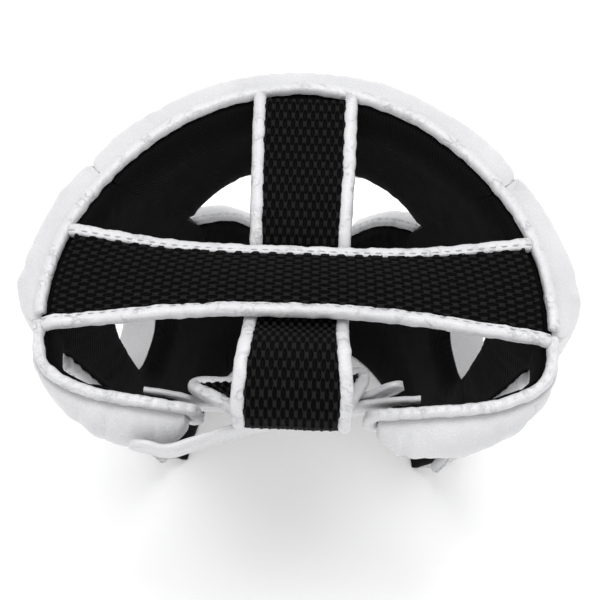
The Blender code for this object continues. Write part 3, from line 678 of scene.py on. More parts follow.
@dataclass(frozen=True)
class Lining:
    """Matt lining cloth with fine slanting ribs, painted lighter on their tops as sheen and darker
    between them as shade.
    """

    name: str = "black_lining"
    # dark: painted shade between the ribs; light: painted sheen on the rib tops
    dark: Shade = (0.0002, 0.0002, 0.0003)
    light: Shade = (0.0045, 0.0045, 0.005)
    rib: float = 1.5 * MM

    def build(self) -> bpy.types.Material:
        """The material."""
        graph = Graph(self.name)
        along, up = graph.flat()
        turns = 2 * math.pi / self.rib
        level, steep = RIB_SLANT
        ribs = ((along * level + up * steep) * turns).sine() * 0.5 + 0.5
        cross = ((along * steep - up * level) * turns * RIB_RATIO).sine() * 0.5 + 0.5
        wear = graph.noise(45, 3)
        height = ribs * 0.7 + cross * 0.3
        # Painted sheen on the rib tops and painted shade between them, varied at random by the wear
        # noise.
        graph.surface(Base_Color=graph.blend(height * (0.35 + 0.8 * wear), self.dark, self.light),
                      Roughness=0.62 + 0.2 * wear, Specular_IOR_Level=CLOTH_SHINE)
        graph.bump(height, 0.16 * MM)
        return graph.material


@dataclass(frozen=True)
class Net:
    """Spacer mesh: strands over holes painted near black as shade, told apart by the piece's
    relief.
    """

    name: str = "black_mesh"
    strand: Shade = (0.012, 0.012, 0.0125)
    # painted shade colour of the sunk holes
    hole: Shade = (0.0002, 0.0002, 0.0002)
    yarn: float = 0.55 * MM

    def build(self) -> bpy.types.Material:
        """The material."""
        graph = Graph(self.name)
        along, across = graph.flat()
        depth = graph.node("ShaderNodeAttribute", {"attribute_name": "relief"}, {}, "Fac")
        turns = 2 * math.pi / self.yarn
        twist = ((along + across * 1.3) * turns).sine() * 0.5 + 0.5
        wear = graph.noise(70, 2)
        # The sunk pits take the near-black colour as painted shade; the yarn twist and wear noise
        # vary it.
        share = (depth.within(0.15, 0.8) + 0.35 * twist) * (0.75 + 0.5 * wear)
        graph.surface(Base_Color=graph.blend(share.within(0, 1), self.strand, self.hole),
                      Roughness=0.6 + 0.2 * twist, Specular_IOR_Level=CLOTH_SHINE)
        graph.bump(twist * (1 - depth), 0.12 * MM)
        return graph.material


@dataclass(frozen=True)
class Mottled:
    """A plain finish between two shades, such as thread or a matt floor."""

    name: str
    dark: Shade
    light: Shade
    scale: float
    detail: float
    rough: float
    rough_run: float
    fuzz: float = 0.0

    def build(self) -> bpy.types.Material:
        """The material."""
        graph = Graph(self.name)
        shade = graph.noise(self.scale, self.detail)
        graph.surface(Base_Color=graph.blend(shade, self.dark, self.light),
                      Roughness=self.rough + self.rough_run * shade)
        if self.fuzz:
            graph.bump(graph.noise(5000), self.fuzz)
        return graph.material


THREAD = Mottled("stitch_thread", (0.26, 0.26, 0.27), (0.36, 0.36, 0.37), 900, 2, 0.55, 0.2,
                 0.05 * MM)
FLOOR = Mottled("studio_floor", (0.93, 0.93, 0.93), (0.95, 0.95, 0.95), 3, 3, 0.85, 0.1)


@dataclass
class Finishes:
    """The materials that the pieces share."""

    leather: bpy.types.Material
    tape: bpy.types.Material
    lining: bpy.types.Material
    net: bpy.types.Material
    thread: bpy.types.Material


FOLDS = Puckers(9 * MM, 11 * MM)
FINE_FOLDS = Puckers(4.2 * MM, 5 * MM)
FINE_SHARE = 0.45  # height of the fine folds beside the others
LUMP_WAVE = 55 * MM
SEWN_EDGE = 1.5 * MM  # nearer than this to a seam the pad is held down


@dataclass
class Padding:
    """A leather pad and its lining over one grid of turns and heights."""

    name: str
    turn: Grid
    height: Grid
    full: Grid
    distance: Grid
    along: Grid
    ring: bool = False
    seam: Grid | float = 1.0
    pad_full: float = 17 * MM
    pad_edge: Grid | float = FREE_EDGE
    lining_full: float = 8 * MM
    lining_edge: float = 2.2 * MM
    seed: int = 1
    pucker: float = 1.9 * MM
    lump: float = 0.7 * MM
    crease: Grid | float = 0.0

    def layer(self, depth: Grid, sign: int) -> Grid:
        """Points at a depth outwards from the seam surface, above the floor."""
        depth = np.broadcast_to(depth, self.turn.shape)[..., None]
        points = head_point(self.turn, self.height) + head_normal(self.turn, self.height) * depth
        points[..., 2] = np.maximum(points[..., 2], 0.0)
        return points * np.array([sign, 1, 1])

    def build(self, finishes: Finishes, side: Side | None = None) -> None:
        """Builds the pad and the lining.

        Args:
            finishes: the shared materials.
            side: the side they lie on, or None for the middle.
        """
        sign = side.value if side else 1
        seed = self.seed + (0 if sign > 0 else 40)
        uv = np.stack([np.radians(self.turn) * FRONT_REACH, self.height], -1)
        waves = self.pucker * FOLDS.at(self.along, self.distance, seed)
        fine = FINE_FOLDS.at(self.along, self.distance, seed + 9)
        waves = waves + FINE_SHARE * self.pucker * fine
        waves = waves + self.lump * ripples(uv[..., 0], uv[..., 1], LUMP_WAVE, seed + 5) * self.full
        held = np.clip(self.distance / SEWN_EDGE, 0, 1)
        pad = self.pad_edge + (self.pad_full - self.pad_edge) * self.full * self.seam
        pad = pad + (waves - self.crease) * held
        back = self.lining_edge + (self.lining_full - self.lining_edge) * self.full
        back = back + 0.5 * held * waves
        outer = shell(self.layer(FIT_GAP / 2, sign), self.layer(pad, sign), uv, self.ring)
        inner = shell(self.layer(-back, sign), self.layer(-FIT_GAP / 2, sign), uv, self.ring)
        for skin, part, finish, slot in ((outer, "pad", finishes.leather, "white_leather"),
                                         (inner, "lining", finishes.lining, "black_lining")):
            node = f"{self.name}_{part}"
            node = side.name_of(node) if side else node
            made = skin.piece(f"{node}_skin", finish)
            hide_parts(node)


ROLL_STEP = 0.8 * MM  # distance between a binding's rings
ROLL_POWER = 2.6  # superellipse exponent of its section
ROLL_END = 1.2 * MM  # distance in which its ends round off
CRUMPLE_WAVE = 9 * MM
TUCK = 0.22 * MM  # depth of the pull at each stitch, and half its breadth across the binding
TUCK_REACH = 0.5
GROOVE = 0.5 * MM  # the same for the crease along the stitch line
GROOVE_REACH = 0.3
FLOOR_CLEARANCE = 0.2 * MM
STITCH_RADIUS = 0.24 * MM
STITCH_SINK = 0.12 * MM
STITCH_HALF = 0.3  # half a stitch's length as a share of the pitch
STITCH_FLATNESS = 0.8
STITCH_MARGIN = 3 * MM  # length that a binding's stitches leave free
STITCH_RINGS = 5
STITCH_SIDES = 6


@dataclass
class Binding:
    """A rolled leather binding along an edge, with its line of stitches."""

    name: str
    path: Grid
    across: Grid
    nodes: tuple[str, ...]
    width: float = STRAP_BINDING
    height: float = STRAP_BINDING
    stitch_side: float = 0.0
    stitch_up: int = 1
    pitch: float = 4.3 * MM
    seed: int = 3
    sides: int = 18
    crumple: float = 0.28 * MM
    stitched: bool = True

    def frames(self, path: Grid, across: Grid) -> tuple[Grid, Grid]:
        """Unit vectors across the path and up from it."""
        tangent = unit(np.gradient(path, axis=0))
        sideways = unit(across - np.sum(across * tangent, -1, keepdims=True) * tangent)
        return sideways, np.cross(tangent, sideways)

    def section(self, angle: Grid) -> tuple[Grid, Grid]:
        """Superellipse section as shares of half the width and height."""
        power = 2 / ROLL_POWER
        cosine, sine = np.cos(angle), np.sin(angle)
        return (np.sign(cosine) * np.abs(cosine) ** power, np.sign(sine) * np.abs(sine) ** power)

    def build(self, finishes: Finishes) -> None:
        """Builds the binding and its stitches."""
        total = lengths_along(self.path)[-1]
        count = max(12, int(total / ROLL_STEP))
        rows = smooth_path(np.concatenate([self.path, self.across], -1), count)
        path, across = rows[:, :3], rows[:, 3:]
        sideways, upwards = self.frames(path, across)
        along = lengths_along(path)
        angle = 2 * np.pi * (np.arange(self.sides) + 0.5) / self.sides
        out, up = self.section(angle)
        s = along[:, None]
        crumple = self.crumple * ripples(s, self.width * angle / 3, CRUMPLE_WAVE, self.seed, 3)
        aside, seen = np.abs(out - self.stitch_side), up * self.stitch_up > 0
        tuck = TUCK * np.cos(2 * np.pi * s / self.pitch) * np.clip(
            1 - aside / TUCK_REACH, 0, 1) * seen
        groove = -GROOVE * np.clip(1 - aside / GROOVE_REACH, 0, 1) * seen
        ends = np.clip(np.minimum(s, total - s) / ROLL_END, 0, 1) ** 0.5
        wide = (self.width / 2 * out + crumple * out) * ends
        high = (self.height / 2 * up + (crumple + tuck + groove) * up) * ends
        ring = (path[:, None] + sideways[:, None] * wide[..., None]
                + upwards[:, None] * high[..., None])
        ring = np.maximum(ring, np.array([-1, -1, FLOOR_CLEARANCE]))
        faces = tube_faces(len(ring), self.sides)
        made = Skin(ring.reshape(-1, 3), faces).faced().piece(self.name, finishes.tape)
        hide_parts(*self.nodes)
        if self.stitched:
            self.stitches(path, sideways, upwards, along, finishes)

    def stitches(self, path: Grid, sideways: Grid, upwards: Grid, along: Grid,
                 finishes: Finishes) -> None:
        """Lays thread stitches along the binding's stitch line."""
        number = int((along[-1] - STITCH_MARGIN) / self.pitch)
        middle = (np.arange(number) + 0.5) * (along[-1] / number)
        level = (1 - abs(self.stitch_side) ** ROLL_POWER) ** (1 / ROLL_POWER)
        lift = self.stitch_up * (self.height / 2 * level - STITCH_SINK)
        line = path + sideways * self.stitch_side * self.width / 2 + upwards * lift
        steps = np.linspace(-1, 1, STITCH_RINGS)
        at = middle[:, None] + steps * STITCH_HALF * self.pitch
        spine, side, rise = (read_at(at, along, rows) for rows in (line, sideways, upwards))
        taper = np.sqrt(np.clip(1.03 - steps**2, 0.03, 1))[None, :, None]
        angle = 2 * np.pi * np.arange(STITCH_SIDES) / STITCH_SIDES
        rings = (spine[:, :, None] + (side[:, :, None] * np.cos(angle)[:, None]
                                      + rise[:, :, None] * np.sin(angle)[:, None]
                                      * STITCH_FLATNESS) * STITCH_RADIUS * taper[..., None])
        faces = tube_faces(STITCH_RINGS, STITCH_SIDES)
        per = STITCH_RINGS * STITCH_SIDES
        every = (faces[None] + (np.arange(number) * per)[:, None, None]).reshape(-1, 4)
        made = Skin(rings.reshape(-1, 3), every).faced().piece(f"{self.name}_stitches",
                                                               finishes.thread)


@dataclass(frozen=True)
class Cells:
    """Staggered long holes of the spacer mesh."""

    across: float = 3.2 * MM
    along: float = 7.0 * MM
    half_width: float = 0.84 * MM
    half_length: float = 2.35 * MM
    depth: float = 1.0 * MM

    def share(self, u: Grid, v: Grid) -> Grid:
        """Depth from 0 on a strand to 1 in a hole; u runs across and v along, in metres."""
        deepest = np.zeros(np.broadcast(u, v).shape)
        for shift in (0.0, 0.5):
            du = (u / self.across + shift + 0.5) % 1.0 - 0.5
            dv = (v / self.along + shift + 0.5) % 1.0 - 0.5
            d = ((np.abs(du) * self.across / self.half_width) ** 2.2
                 + (np.abs(dv) * self.along / self.half_length) ** 2.2) ** (1 / 2.2)
            ramp = np.clip((1.25 - d) / 0.5, 0, 1)
            deepest = np.maximum(deepest, ramp * ramp * (3 - 2 * ramp))
        return deepest


SWELL = 0.12 * MM  # slow unevenness of a mesh strap's thickness, and its wave
SWELL_WAVE = 22 * MM
STRAP_EDGE = 0.75  # share of its thickness at its sewn edges


@dataclass
class MeshStrap:
    """A strap or flap of spacer mesh, from the points of its middle layer."""

    name: str
    node: str
    surface: Grid
    held: str
    cells: Cells = Cells()

    def build(self, finishes: Finishes) -> None:
        """Builds the strap as a closed sheet with its holes sunk into both faces."""
        middle = self.surface
        rise = normals(middle)
        down = lengths_along(middle[:, middle.shape[1] // 2])
        widths = np.linalg.norm(np.diff(middle, axis=1), axis=-1)
        right = np.concatenate([np.zeros((len(middle), 1)), np.cumsum(widths, axis=1)], 1)
        right = right - right[:, -1:] / 2
        depth = self.cells.share(right, down[:, None])
        swell = SWELL * ripples(right, down[:, None] + 0 * right, SWELL_WAVE, 11, 2)
        thick = (STRAP_THICKNESS / 2 + swell - self.cells.depth * depth)[..., None]
        column = np.arange(middle.shape[1])
        edge = np.clip(np.minimum(column, column[::-1]) / 3, 0, 1)[None, :, None]
        thick = thick * (STRAP_EDGE + (1 - STRAP_EDGE) * edge)
        uv = np.stack([right, down[:, None] + 0 * right], -1)
        skin = shell(middle - rise * thick, middle + rise * thick, uv, relief=depth)
        made = skin.piece(self.name, finishes.net, 80)
        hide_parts(self.node)


@dataclass
class Crown:
    """The straps over the crown, the folded flap and their bindings."""

    step: float = 0.42 * MM  # distance between a mesh strap's points
    length: float = 230 * MM  # what its rows and columns are counted from
    breadth: float = 34 * MM

    def front_edge(self) -> float:
        """Y of the forehead binding's inner edge in the middle."""
        return float(head_point(0.0, GUARD_HEIGHT)[1]) - BINDING_WIDTH - FIT_GAP

    def crown_surface(self, inset: float, count: int, columns: int) -> Grid:
        """Middle layer of the crown strap between its edges, less an inset at each."""
        rows = np.array(CROWN_STRAP)
        knots = np.stack([self.front_edge() - rows[:, 0] * CROWN_LENGTH,
                          GUARD_HEIGHT - rows[:, 1] * CROWN_DIP,
                          rows[:, 2] * CROWN_STRAP_WIDTH / 2], -1)
        path = smooth_path(knots, count)
        x = (path[:, 2] - inset)[:, None] * np.linspace(-1, 1, columns)
        return np.stack([x, path[:, :1] + 0 * x, path[:, 1:2] + 0 * x], -1)

    def ring_inner_x(self, y: Grid) -> Grid:
        """How far out the inner side of the top binding lies at each y."""
        turn = np.linspace(*STRAP_TURNS, 60)
        height = edge_height(turn, TOP_EDGE) - BINDING_HEIGHT / 2
        line = head_point(turn, height) - head_normal(turn, height) * BINDING_WIDTH
        return np.interp(y, line[::-1, 1], line[::-1, 0]) - FIT_GAP

    def cross_surface(self, inset: float, count: int, columns: int) -> Grid:
        """Middle layer of the cross strap between its edges, less an inset at each."""
        share = np.linspace(-1, 1, count)
        front, rear, front_drop, rear_drop, arch = (
            table_at(np.abs(share), CROSS_STRAP, column)[:, None] for column in range(1, 6))
        middle = self.front_edge() - CROSS_PLACE * CROWN_LENGTH
        front_y = middle + front * CROSS_STRAP_WIDTH
        rear_y = middle + rear * CROSS_STRAP_WIDTH
        start = inset / (front_y - rear_y)
        v = start + (1 - 2 * start) * np.linspace(0, 1, columns)
        y = front_y + (rear_y - front_y) * v
        drop = front_drop + (rear_drop - front_drop) * v
        z = GUARD_HEIGHT - (drop - arch * 4 * v * (1 - v)) * CROWN_DIP
        return np.stack([share[:, None] * self.ring_inner_x(y[-1]), y, z], -1)

    def flap_point(self, share: Grid, across: Grid) -> Grid:
        """Point of the flap's middle layer: share from fold to inner edge, across -1 to 1."""
        along, drop, wide = CROWN_STRAP[-1]
        across = np.asarray(across, float)
        outwards = np.where(across < 0, FLAP_LEFT[0], FLAP_RIGHT[0])
        reach = FLAP_LEFT[1] + (FLAP_RIGHT[1] - FLAP_LEFT[1]) * (across + 1) / 2
        x = (wide * CROWN_STRAP_WIDTH / 2 + outwards * share) * across
        y = self.front_edge() - along * CROWN_LENGTH + FLAP_START + reach * share
        z = GUARD_HEIGHT - drop * CROWN_DIP - FLAP_START - FLAP_DROP * share**FLAP_CURVE
        return np.stack([x + 0 * y, y + 0 * x, z + 0 * x + 0 * y], -1)

    def flap_inside(self, share: Grid, inset: float) -> Grid:
        """How far across the flap, 0 to 1, a line at an inset from its sides lies."""
        half = np.linalg.norm(self.flap_point(share, 1.0) - self.flap_point(share, -1.0),
                              axis=-1) / 2
        return 1 - inset * FLAP_SLANT / half

    def straps(self, finishes: Finishes) -> None:
        """Builds the three pieces of mesh."""
        inset = STRAP_BINDING * MESH_INSET
        rows = int(self.length / self.step)
        columns = int(self.breadth / self.step)
        MeshStrap("crown_strap_mesh", "crown_strap", self.crown_surface(inset, rows, columns),
                  "folded").build(finishes)
        MeshStrap("cross_strap_mesh", "cross_strap", self.cross_surface(inset, rows, columns),
                  "stretched").build(finishes)
        share = np.linspace(0, 1 - inset / FLAP_LEFT[1], 60)[:, None]
        across = np.linspace(-1, 1, 150)[None, :] * self.flap_inside(share, inset)
        MeshStrap("rear_flap_mesh", "rear_flap", self.flap_point(share, across),
                  "folded", Cells(depth=0.6 * MM)).build(finishes)

    def edge_pair(self, edges: Grid, end: float, rows: tuple[tuple[int, str, int], ...],
                  seed: int, finishes: Finishes) -> None:
        """Builds the bindings along a strap's two edges.

        Args:
            edges: the strap's surface in two columns, one for each edge.
            end: how far the bindings run on past the strap's last row.
            rows: column, node and outward direction of each binding.
            seed: seed of their creases.
            finishes: the shared materials.
        """
        across = edges[:, 1] - edges[:, 0]
        across = np.concatenate([across[:1], across] + ([across[-1:]] if end else []))
        for column, node, way in rows:
            path = lengthened(edges[:, column], STRAP_END, end, STRAP_SINK)
            Binding(f"{node}_roll", path, across * way, (node,), stitch_side=STRAP_STITCH,
                    stitch_up=-way, seed=seed + column).build(finishes)

    def bindings(self, finishes: Finishes) -> None:
        """Builds the bindings of the straps and of the flap."""
        self.edge_pair(self.crown_surface(STRAP_BINDING / 2, 60, 2), 0,
                       ((1, "crown_binding_right", 1), (0, "crown_binding_left", -1)), 20, finishes)
        self.edge_pair(self.cross_surface(STRAP_BINDING / 2, 60, 2), STRAP_END,
                       ((0, "cross_binding_front", -1), (1, "cross_binding_rear", 1)), 30, finishes)
        line = 1 - STRAP_BINDING / 2 / FLAP_LEFT[1]
        down = np.linspace(0, line, 6)
        inset = self.flap_inside(down, STRAP_BINDING / 2)
        inner = self.flap_point(np.full(7, line), np.linspace(-1, 1, 7) * inset[-1] * FLAP_CORNER)
        path = smooth_path(np.concatenate([self.flap_point(down, -inset)[:-1], inner,
                                           self.flap_point(down, inset)[::-1][1:]]), 60)
        Binding("flap_binding_roll", path, np.array([0, 0, 1.0]) + 0 * path, ("flap_binding",),
                stitch_side=0.6, seed=41).build(finishes)


@dataclass
class Closure:
    """One padded leather strap of the rear closure, with a round free end."""

    node: str
    knots: Grid
    seed: int
    wave: float = 0.35 * MM
    wave_length: float = 14 * MM
    stitch: float = 0.35 * MM
    stitch_place: float = 0.68  # of the stitched grooves, as a share of half the width
    stitch_breadth: float = 0.07
    edge: float = 0.25  # share of the thickness at the edges

    def build(self, finishes: Finishes) -> None:
        """Builds the strap."""
        path = smooth_path(self.knots, 160)
        to_end = np.linalg.norm(path - path[-1], axis=1) / (CLOSURE_WIDTH / 2)
        round_end = np.sqrt(np.clip(1 - (1 - np.clip(to_end, 0, 1)) ** 2, 0.03, 1))
        v = np.linspace(-1, 1, 33)
        lean = math.radians(CLOSURE_LEAN)
        upwards = np.array([0, -math.sin(lean), math.cos(lean)]) * CLOSURE_WIDTH / 2
        surface = path[:, None] + v[None, :, None] * round_end[:, None, None] * upwards
        rise = normals(surface)
        along = lengths_along(path)[:, None]
        puff = (1 - np.abs(v)[None, :] ** 4) ** 0.5
        stitch = np.exp(-((np.abs(v)[None, :] - self.stitch_place) / self.stitch_breadth) ** 2)
        waves = self.wave * ripples(along, v[None, :] * CLOSURE_WIDTH / 2, self.wave_length,
                                    self.seed)
        half = CLOSURE_THICKNESS / 2 * (self.edge + (1 - self.edge) * puff) - self.stitch * stitch
        uv = np.stack([along + 0 * surface[..., 0], surface[..., 2]], -1)
        low, high = -(half - waves * puff)[..., None], (half + waves * puff)[..., None]
        made = shell(surface + rise * low, surface + rise * high, uv).piece(
            f"{self.node}_strap", finishes.leather)
        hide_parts(self.node)


SETTLING_ROUNDS = 6  # rounds in which a grid's turns and heights settle on both edge lines
FOREHEAD_RADIUS = 105 * MM
SIDE_TOP = 0.86  # share of GUARD_HEIGHT up to which a side pad's rear outline is marked
CHEEK_TURNS = (8, 36)  # first guess of a cheek pad's turns


@dataclass
class Guard:
    """The whole head guard."""

    finishes: Finishes

    def forehead(self) -> None:
        """Forehead pad and lining, from temple seam to temple seam."""
        u = np.linspace(-1, 1, 161)[:, None]
        v = eased(44)[None, :]
        turn = u * TEMPLE_SEAM[0][1] + 0 * v
        for _ in range(SETTLING_ROUNDS):
            low = edge_height(turn, BROW_EDGE) + BINDING_HEIGHT
            top = top_of_pads(turn)
            height = low + (top - low) * v
            reach = edge_turn(height, TEMPLE_SEAM) - math.degrees(SEAM_GAP / FRONT_REACH)
            turn = u * reach
        distance = np.minimum(top - height, height - low)
        full = rounded(distance, EDGE_ROUND)
        seam = beside_seam(np.radians(reach - np.abs(turn)) * FRONT_REACH)
        along = np.radians(turn) * FOREHEAD_RADIUS
        Padding("forehead", turn, height, full, distance, along, seam=seam,
                seed=101).build(self.finishes)

    def side_outline(self) -> tuple[Grid, Grid]:
        """Closed outline of a side pad round the ear, as turns and heights."""
        front = np.linspace(TEMPLE_SEAM[-1][0], 0.0, SIDE_SEAM_ROWS) * GUARD_HEIGHT
        split = JAW_SEAM[-1][0] * GUARD_HEIGHT
        front_turn = np.where(front > split, edge_turn(front, TEMPLE_SEAM),
                              edge_turn(front, JAW_SEAM)) + math.degrees(SEAM_GAP / FRONT_REACH)
        front[0] = float(top_of_pads(front_turn[0]))
        front = np.minimum(front, front[0] - np.arange(SIDE_SEAM_ROWS) * 0.2 * MM)
        front[-1] = 0.0
        bottom_turn = np.linspace(front_turn[-1], float(edge_turn(0.0, NECK_EDGE)), 28)[1:-1]
        rear = np.linspace(0.0, SIDE_TOP, 60) * GUARD_HEIGHT
        rear_turn = edge_turn(rear, NECK_EDGE)
        top_turn = np.linspace(rear_turn[-1], front_turn[0], 36)[:-1]
        turns = np.concatenate([front_turn, bottom_turn, rear_turn, top_turn])
        heights = np.concatenate([front, 0 * bottom_turn, rear, top_of_pads(top_turn)])
        return turns, heights

    def side(self, side: Side) -> None:
        """Temple, ear surround and jaw of one side, with the ear hole through it."""
        turns, heights = self.side_outline()
        scale = math.radians(1) * FRONT_REACH
        bearing = np.arctan2(heights - EAR_HEIGHT, (turns - EAR_TURN) * scale)
        radius = (np.abs(np.cos(bearing) / EAR_HALF_LENGTH) ** EAR_SQUARENESS
                  + np.abs(np.sin(bearing) / EAR_HALF_HEIGHT) ** EAR_SQUARENESS) ** (
                      -1 / EAR_SQUARENESS)
        hole_turn = EAR_TURN + radius * np.cos(bearing) / scale
        hole_height = EAR_HEIGHT + radius * np.sin(bearing)
        v = eased(34)[None, :]
        turn = hole_turn[:, None] + (turns - hole_turn)[:, None] * v
        height = hole_height[:, None] + (heights - hole_height)[:, None] * v
        reach = np.hypot((turns - hole_turn) * scale, heights - hole_height)[:, None]
        plane = np.stack([turn * scale, height], -1)
        outline = np.stack([turns * scale, heights], -1)
        closed = np.concatenate([outline, outline[:1]])
        steps = np.linspace(0, 1, 6)[:-1, None, None]
        dense = (closed[:-1] * (1 - steps) + closed[1:] * steps).transpose(1, 0, 2)
        to_seam = nearest(plane, dense[:SIDE_SEAM_ROWS - 1].reshape(-1, 2))
        to_free = nearest(plane, dense[SIDE_SEAM_ROWS - 1:].reshape(-1, 2))
        backwards = np.clip((turn - CORNER_TURN) / (EAR_LINE - CORNER_TURN), 0, 1)
        upwards = np.clip((height / GUARD_HEIGHT - CORNER_FOOT) / (1 - CORNER_FOOT), 0, 1)
        full = rounded(v * reach, HOLE_ROUND) * rounded(to_free, EDGE_ROUND)
        full = full * (1 - np.minimum(CORNER_THIN * backwards * upwards, CORNER_THINNEST))
        pad_edge = EAR_RIM + (FREE_EDGE - EAR_RIM) * v
        distance = np.minimum(np.minimum(v * reach, to_free), to_seam + 2 * MM)
        along = lengths_along(head_point(turns, heights))[:, None] + 0 * turn
        Padding("side", turn, height, full, distance, along, ring=True, pad_edge=pad_edge,
                seam=beside_seam(to_seam), seed=111).build(self.finishes, side)

    def cheek(self, side: Side) -> None:
        """Cheek pad between the mouth gap and the jaw seam, with its binding."""
        u, v = eased(40)[:, None], eased(40)[None, :]
        turn = CHEEK_TURNS[0] + (CHEEK_TURNS[1] - CHEEK_TURNS[0]) * u + 0 * v
        for _ in range(SETTLING_ROUNDS):
            high = edge_height(turn, CHEEK_EDGE) - BINDING_HEIGHT - FIT_GAP
            high = high - CHEEK_CORNER * (1 - u) ** 4
            height = high * v
            half = table_at(height / GUARD_HEIGHT, SECTIONS, 1) * HALF_WIDTH
            square = table_at(height / GUARD_HEIGHT, SECTIONS, 4)
            mouth = np.degrees(np.arcsin((MOUTH_HALF_GAP / half) ** (square / 2)))
            seam = edge_turn(height, JAW_SEAM) - math.degrees(SEAM_GAP / FRONT_REACH)
            turn = mouth + (seam - mouth) * u
        width = np.radians(seam - mouth) * FRONT_REACH
        distance = np.minimum(np.minimum(high - height, height), width * u)
        full = rounded(distance, EDGE_ROUND)
        along = height + CHEEK_BREADTH * u
        Padding("cheek", turn, height, full, distance, along, seam=beside_seam(width * (1 - u)),
                seed=121).build(self.finishes, side)
        self.edge_roll("cheek_binding", np.concatenate([turn[0, 1:-1], turn[:, -1]]),
                       np.concatenate([height[0, 1:-1], height[:, -1]]), side)

    def rear(self, side: Side) -> None:
        """Rear panel from the ear line's corner to its rounded end, with its binding."""
        u, v = np.linspace(0, 1, 90)[:, None], eased(REAR_COLUMNS)[None, :]
        start = NECK_EDGE[-1][1] + math.degrees(CORNER_GAP / FRONT_REACH) + 0 * v
        end = REAR_END_TURN - (0 if side is Side.RIGHT else LEFT_END_SHORTER)
        turn = start + (end - start) * u**REAR_SPACING
        high, low = top_of_pads(turn), edge_height(turn, NAPE_EDGE)
        past_start = np.clip((u - REAR_ROUND_START) / (1 - REAR_ROUND_START), 0, 1)
        rounding = 1 - REAR_END_ROUND * past_start**2
        height = (high + low) / 2 + (high - low) * rounding * (v - 0.5)
        middle = REAR_COLUMNS // 2
        along = lengths_along(head_point(turn[:, middle], height[:, middle]))[:, None] + 0 * turn
        to_end = along[-1:] - along
        across = np.minimum(v, 1 - v) * (high - low) * rounding
        full = rounded(across, REAR_ROUND) * rounded(to_end + 1 * MM, REAR_ROUND)
        full = full * plump(np.minimum(REAR_FULL_START + REAR_FULL_RUN * u, 0.5))
        distance = np.minimum(across, to_end + 2 * MM)
        crease = sum(REAR_CREASE * np.exp(-((to_end - place) / REAR_CREASE) ** 2)
                     for place in REAR_CREASES)
        Padding("rear", turn, height, full, distance, along, pad_full=REAR_PAD_THICKNESS,
                pad_edge=2.8 * MM, lining_full=REAR_LINING_THICKNESS, seed=131, lump=0.6 * MM,
                pucker=2.2 * MM, crease=crease,
                seam=table_at(u, REAR_SWELL, 1)).build(self.finishes, side)
        rounds = ((slice(None), -1), (-1, slice(-2, 0, -1)), (slice(None, 2, -1), 0))
        self.edge_roll("rear_binding", np.concatenate([turn[at] for at in rounds]),
                       np.concatenate([height[at] for at in rounds]), side)

    def neck(self, side: Side) -> None:
        """Binding of the side pad's free edge behind the jaw."""
        height = np.linspace(NECK_EDGE[-3][0], NECK_EDGE[1][0], 30) * GUARD_HEIGHT
        self.edge_roll("neck_binding", edge_turn(height, NECK_EDGE), height, side)

    def edge_roll(self, name: str, turn: Grid, height: Grid, side: Side) -> None:
        """Binding outside a pad's boundary.

        Args:
            name: the node's name without its side.
            turn: turns along the boundary.
            height: heights along the boundary.
            side: the side it lies on.
        """
        boundary = head_point(turn, height)
        rows = smooth_path(np.concatenate([boundary, head_normal(turn, height)], -1), 90)
        dense = smooth_path(boundary, 400)
        path, normal = rows[:, :3], unit(rows[:, 3:])
        outwards = unit(np.cross(unit(np.gradient(path, axis=0)), normal))
        thin = name == "cheek_binding"
        crumple = 0.2 * MM if thin else 0.3 * MM
        tall = CHEEK_BINDING if thin else BINDING_HEIGHT
        wanted = tall / 2 + FIT_GAP
        path = path + outwards * wanted
        for _ in range(2 * SETTLING_ROUNDS):
            away = np.linalg.norm(path[:, None] - dense, axis=-1).min(axis=1)
            path = path + outwards * np.clip(wanted - away, 0, None)[:, None]
        mirror = np.array([side.value, 1, 1])
        node = side.name_of(name)
        Binding(f"{node}_roll", path * mirror, normal * mirror, (node,), BINDING_WIDTH, tall,
                stitch_up=side.value, seed=61 + side.value, stitched=name == "neck_binding",
                crumple=crumple).build(self.finishes)

    def edge_line(self, turn: Grid, height: Grid) -> tuple[Grid, Grid]:
        """Path and sideways direction of a binding that caps the pads' edge."""
        normal = head_normal(turn, height)
        middle = (PAD_EDGE - LINING_EDGE - BINDING_WIDTH / 2) / 2
        return head_point(turn, height) + normal * middle, normal

    def top_bindings(self) -> None:
        """Binding round the top opening and binding of the brow."""
        last = NECK_EDGE[-1][1]
        turn = np.linspace(-last, last, 141)
        path, normal = self.edge_line(turn, edge_height(turn, TOP_EDGE) - BINDING_HEIGHT / 2)
        Binding("top_binding_roll", path, normal,
                ("forehead_binding", "side_binding_right", "side_binding_left"), BINDING_WIDTH,
                BINDING_HEIGHT, -0.2, seed=51, stitched=False, crumple=0.26 * MM).build(
                    self.finishes)
        eye = BROW_EDGE[-1][0]
        turn = np.linspace(-eye, eye, 61)
        brow = edge_height(turn, BROW_EDGE) + BINDING_HEIGHT / 2 - FIT_GAP
        path, normal = self.edge_line(turn, brow)
        Binding("brow_binding_roll", path, normal, ("brow_binding",), BINDING_WIDTH,
                BINDING_HEIGHT, 0.0, -1, seed=52).build(self.finishes)

    def on_panel(self, rows: Table, depth: float, side: Side) -> Grid:
        """Places on a rear panel, at a depth outwards from the seam surface."""
        turn, share = np.array(rows).T
        height = share * GUARD_HEIGHT
        points = head_point(turn, height) + head_normal(turn, height) * depth
        return points * np.array([side.value, 1, 1])

    def under_flap(self, rows: Table, crown: Crown) -> Grid:
        """Places between the rear panels, from the fold of the crown strap."""
        sideways, forwards, upwards = np.array(rows).T
        fold_y = crown.front_edge() - CROWN_LENGTH
        return np.stack([sideways * HALF_WIDTH, fold_y + forwards * HALF_WIDTH,
                         upwards * GUARD_HEIGHT], -1)

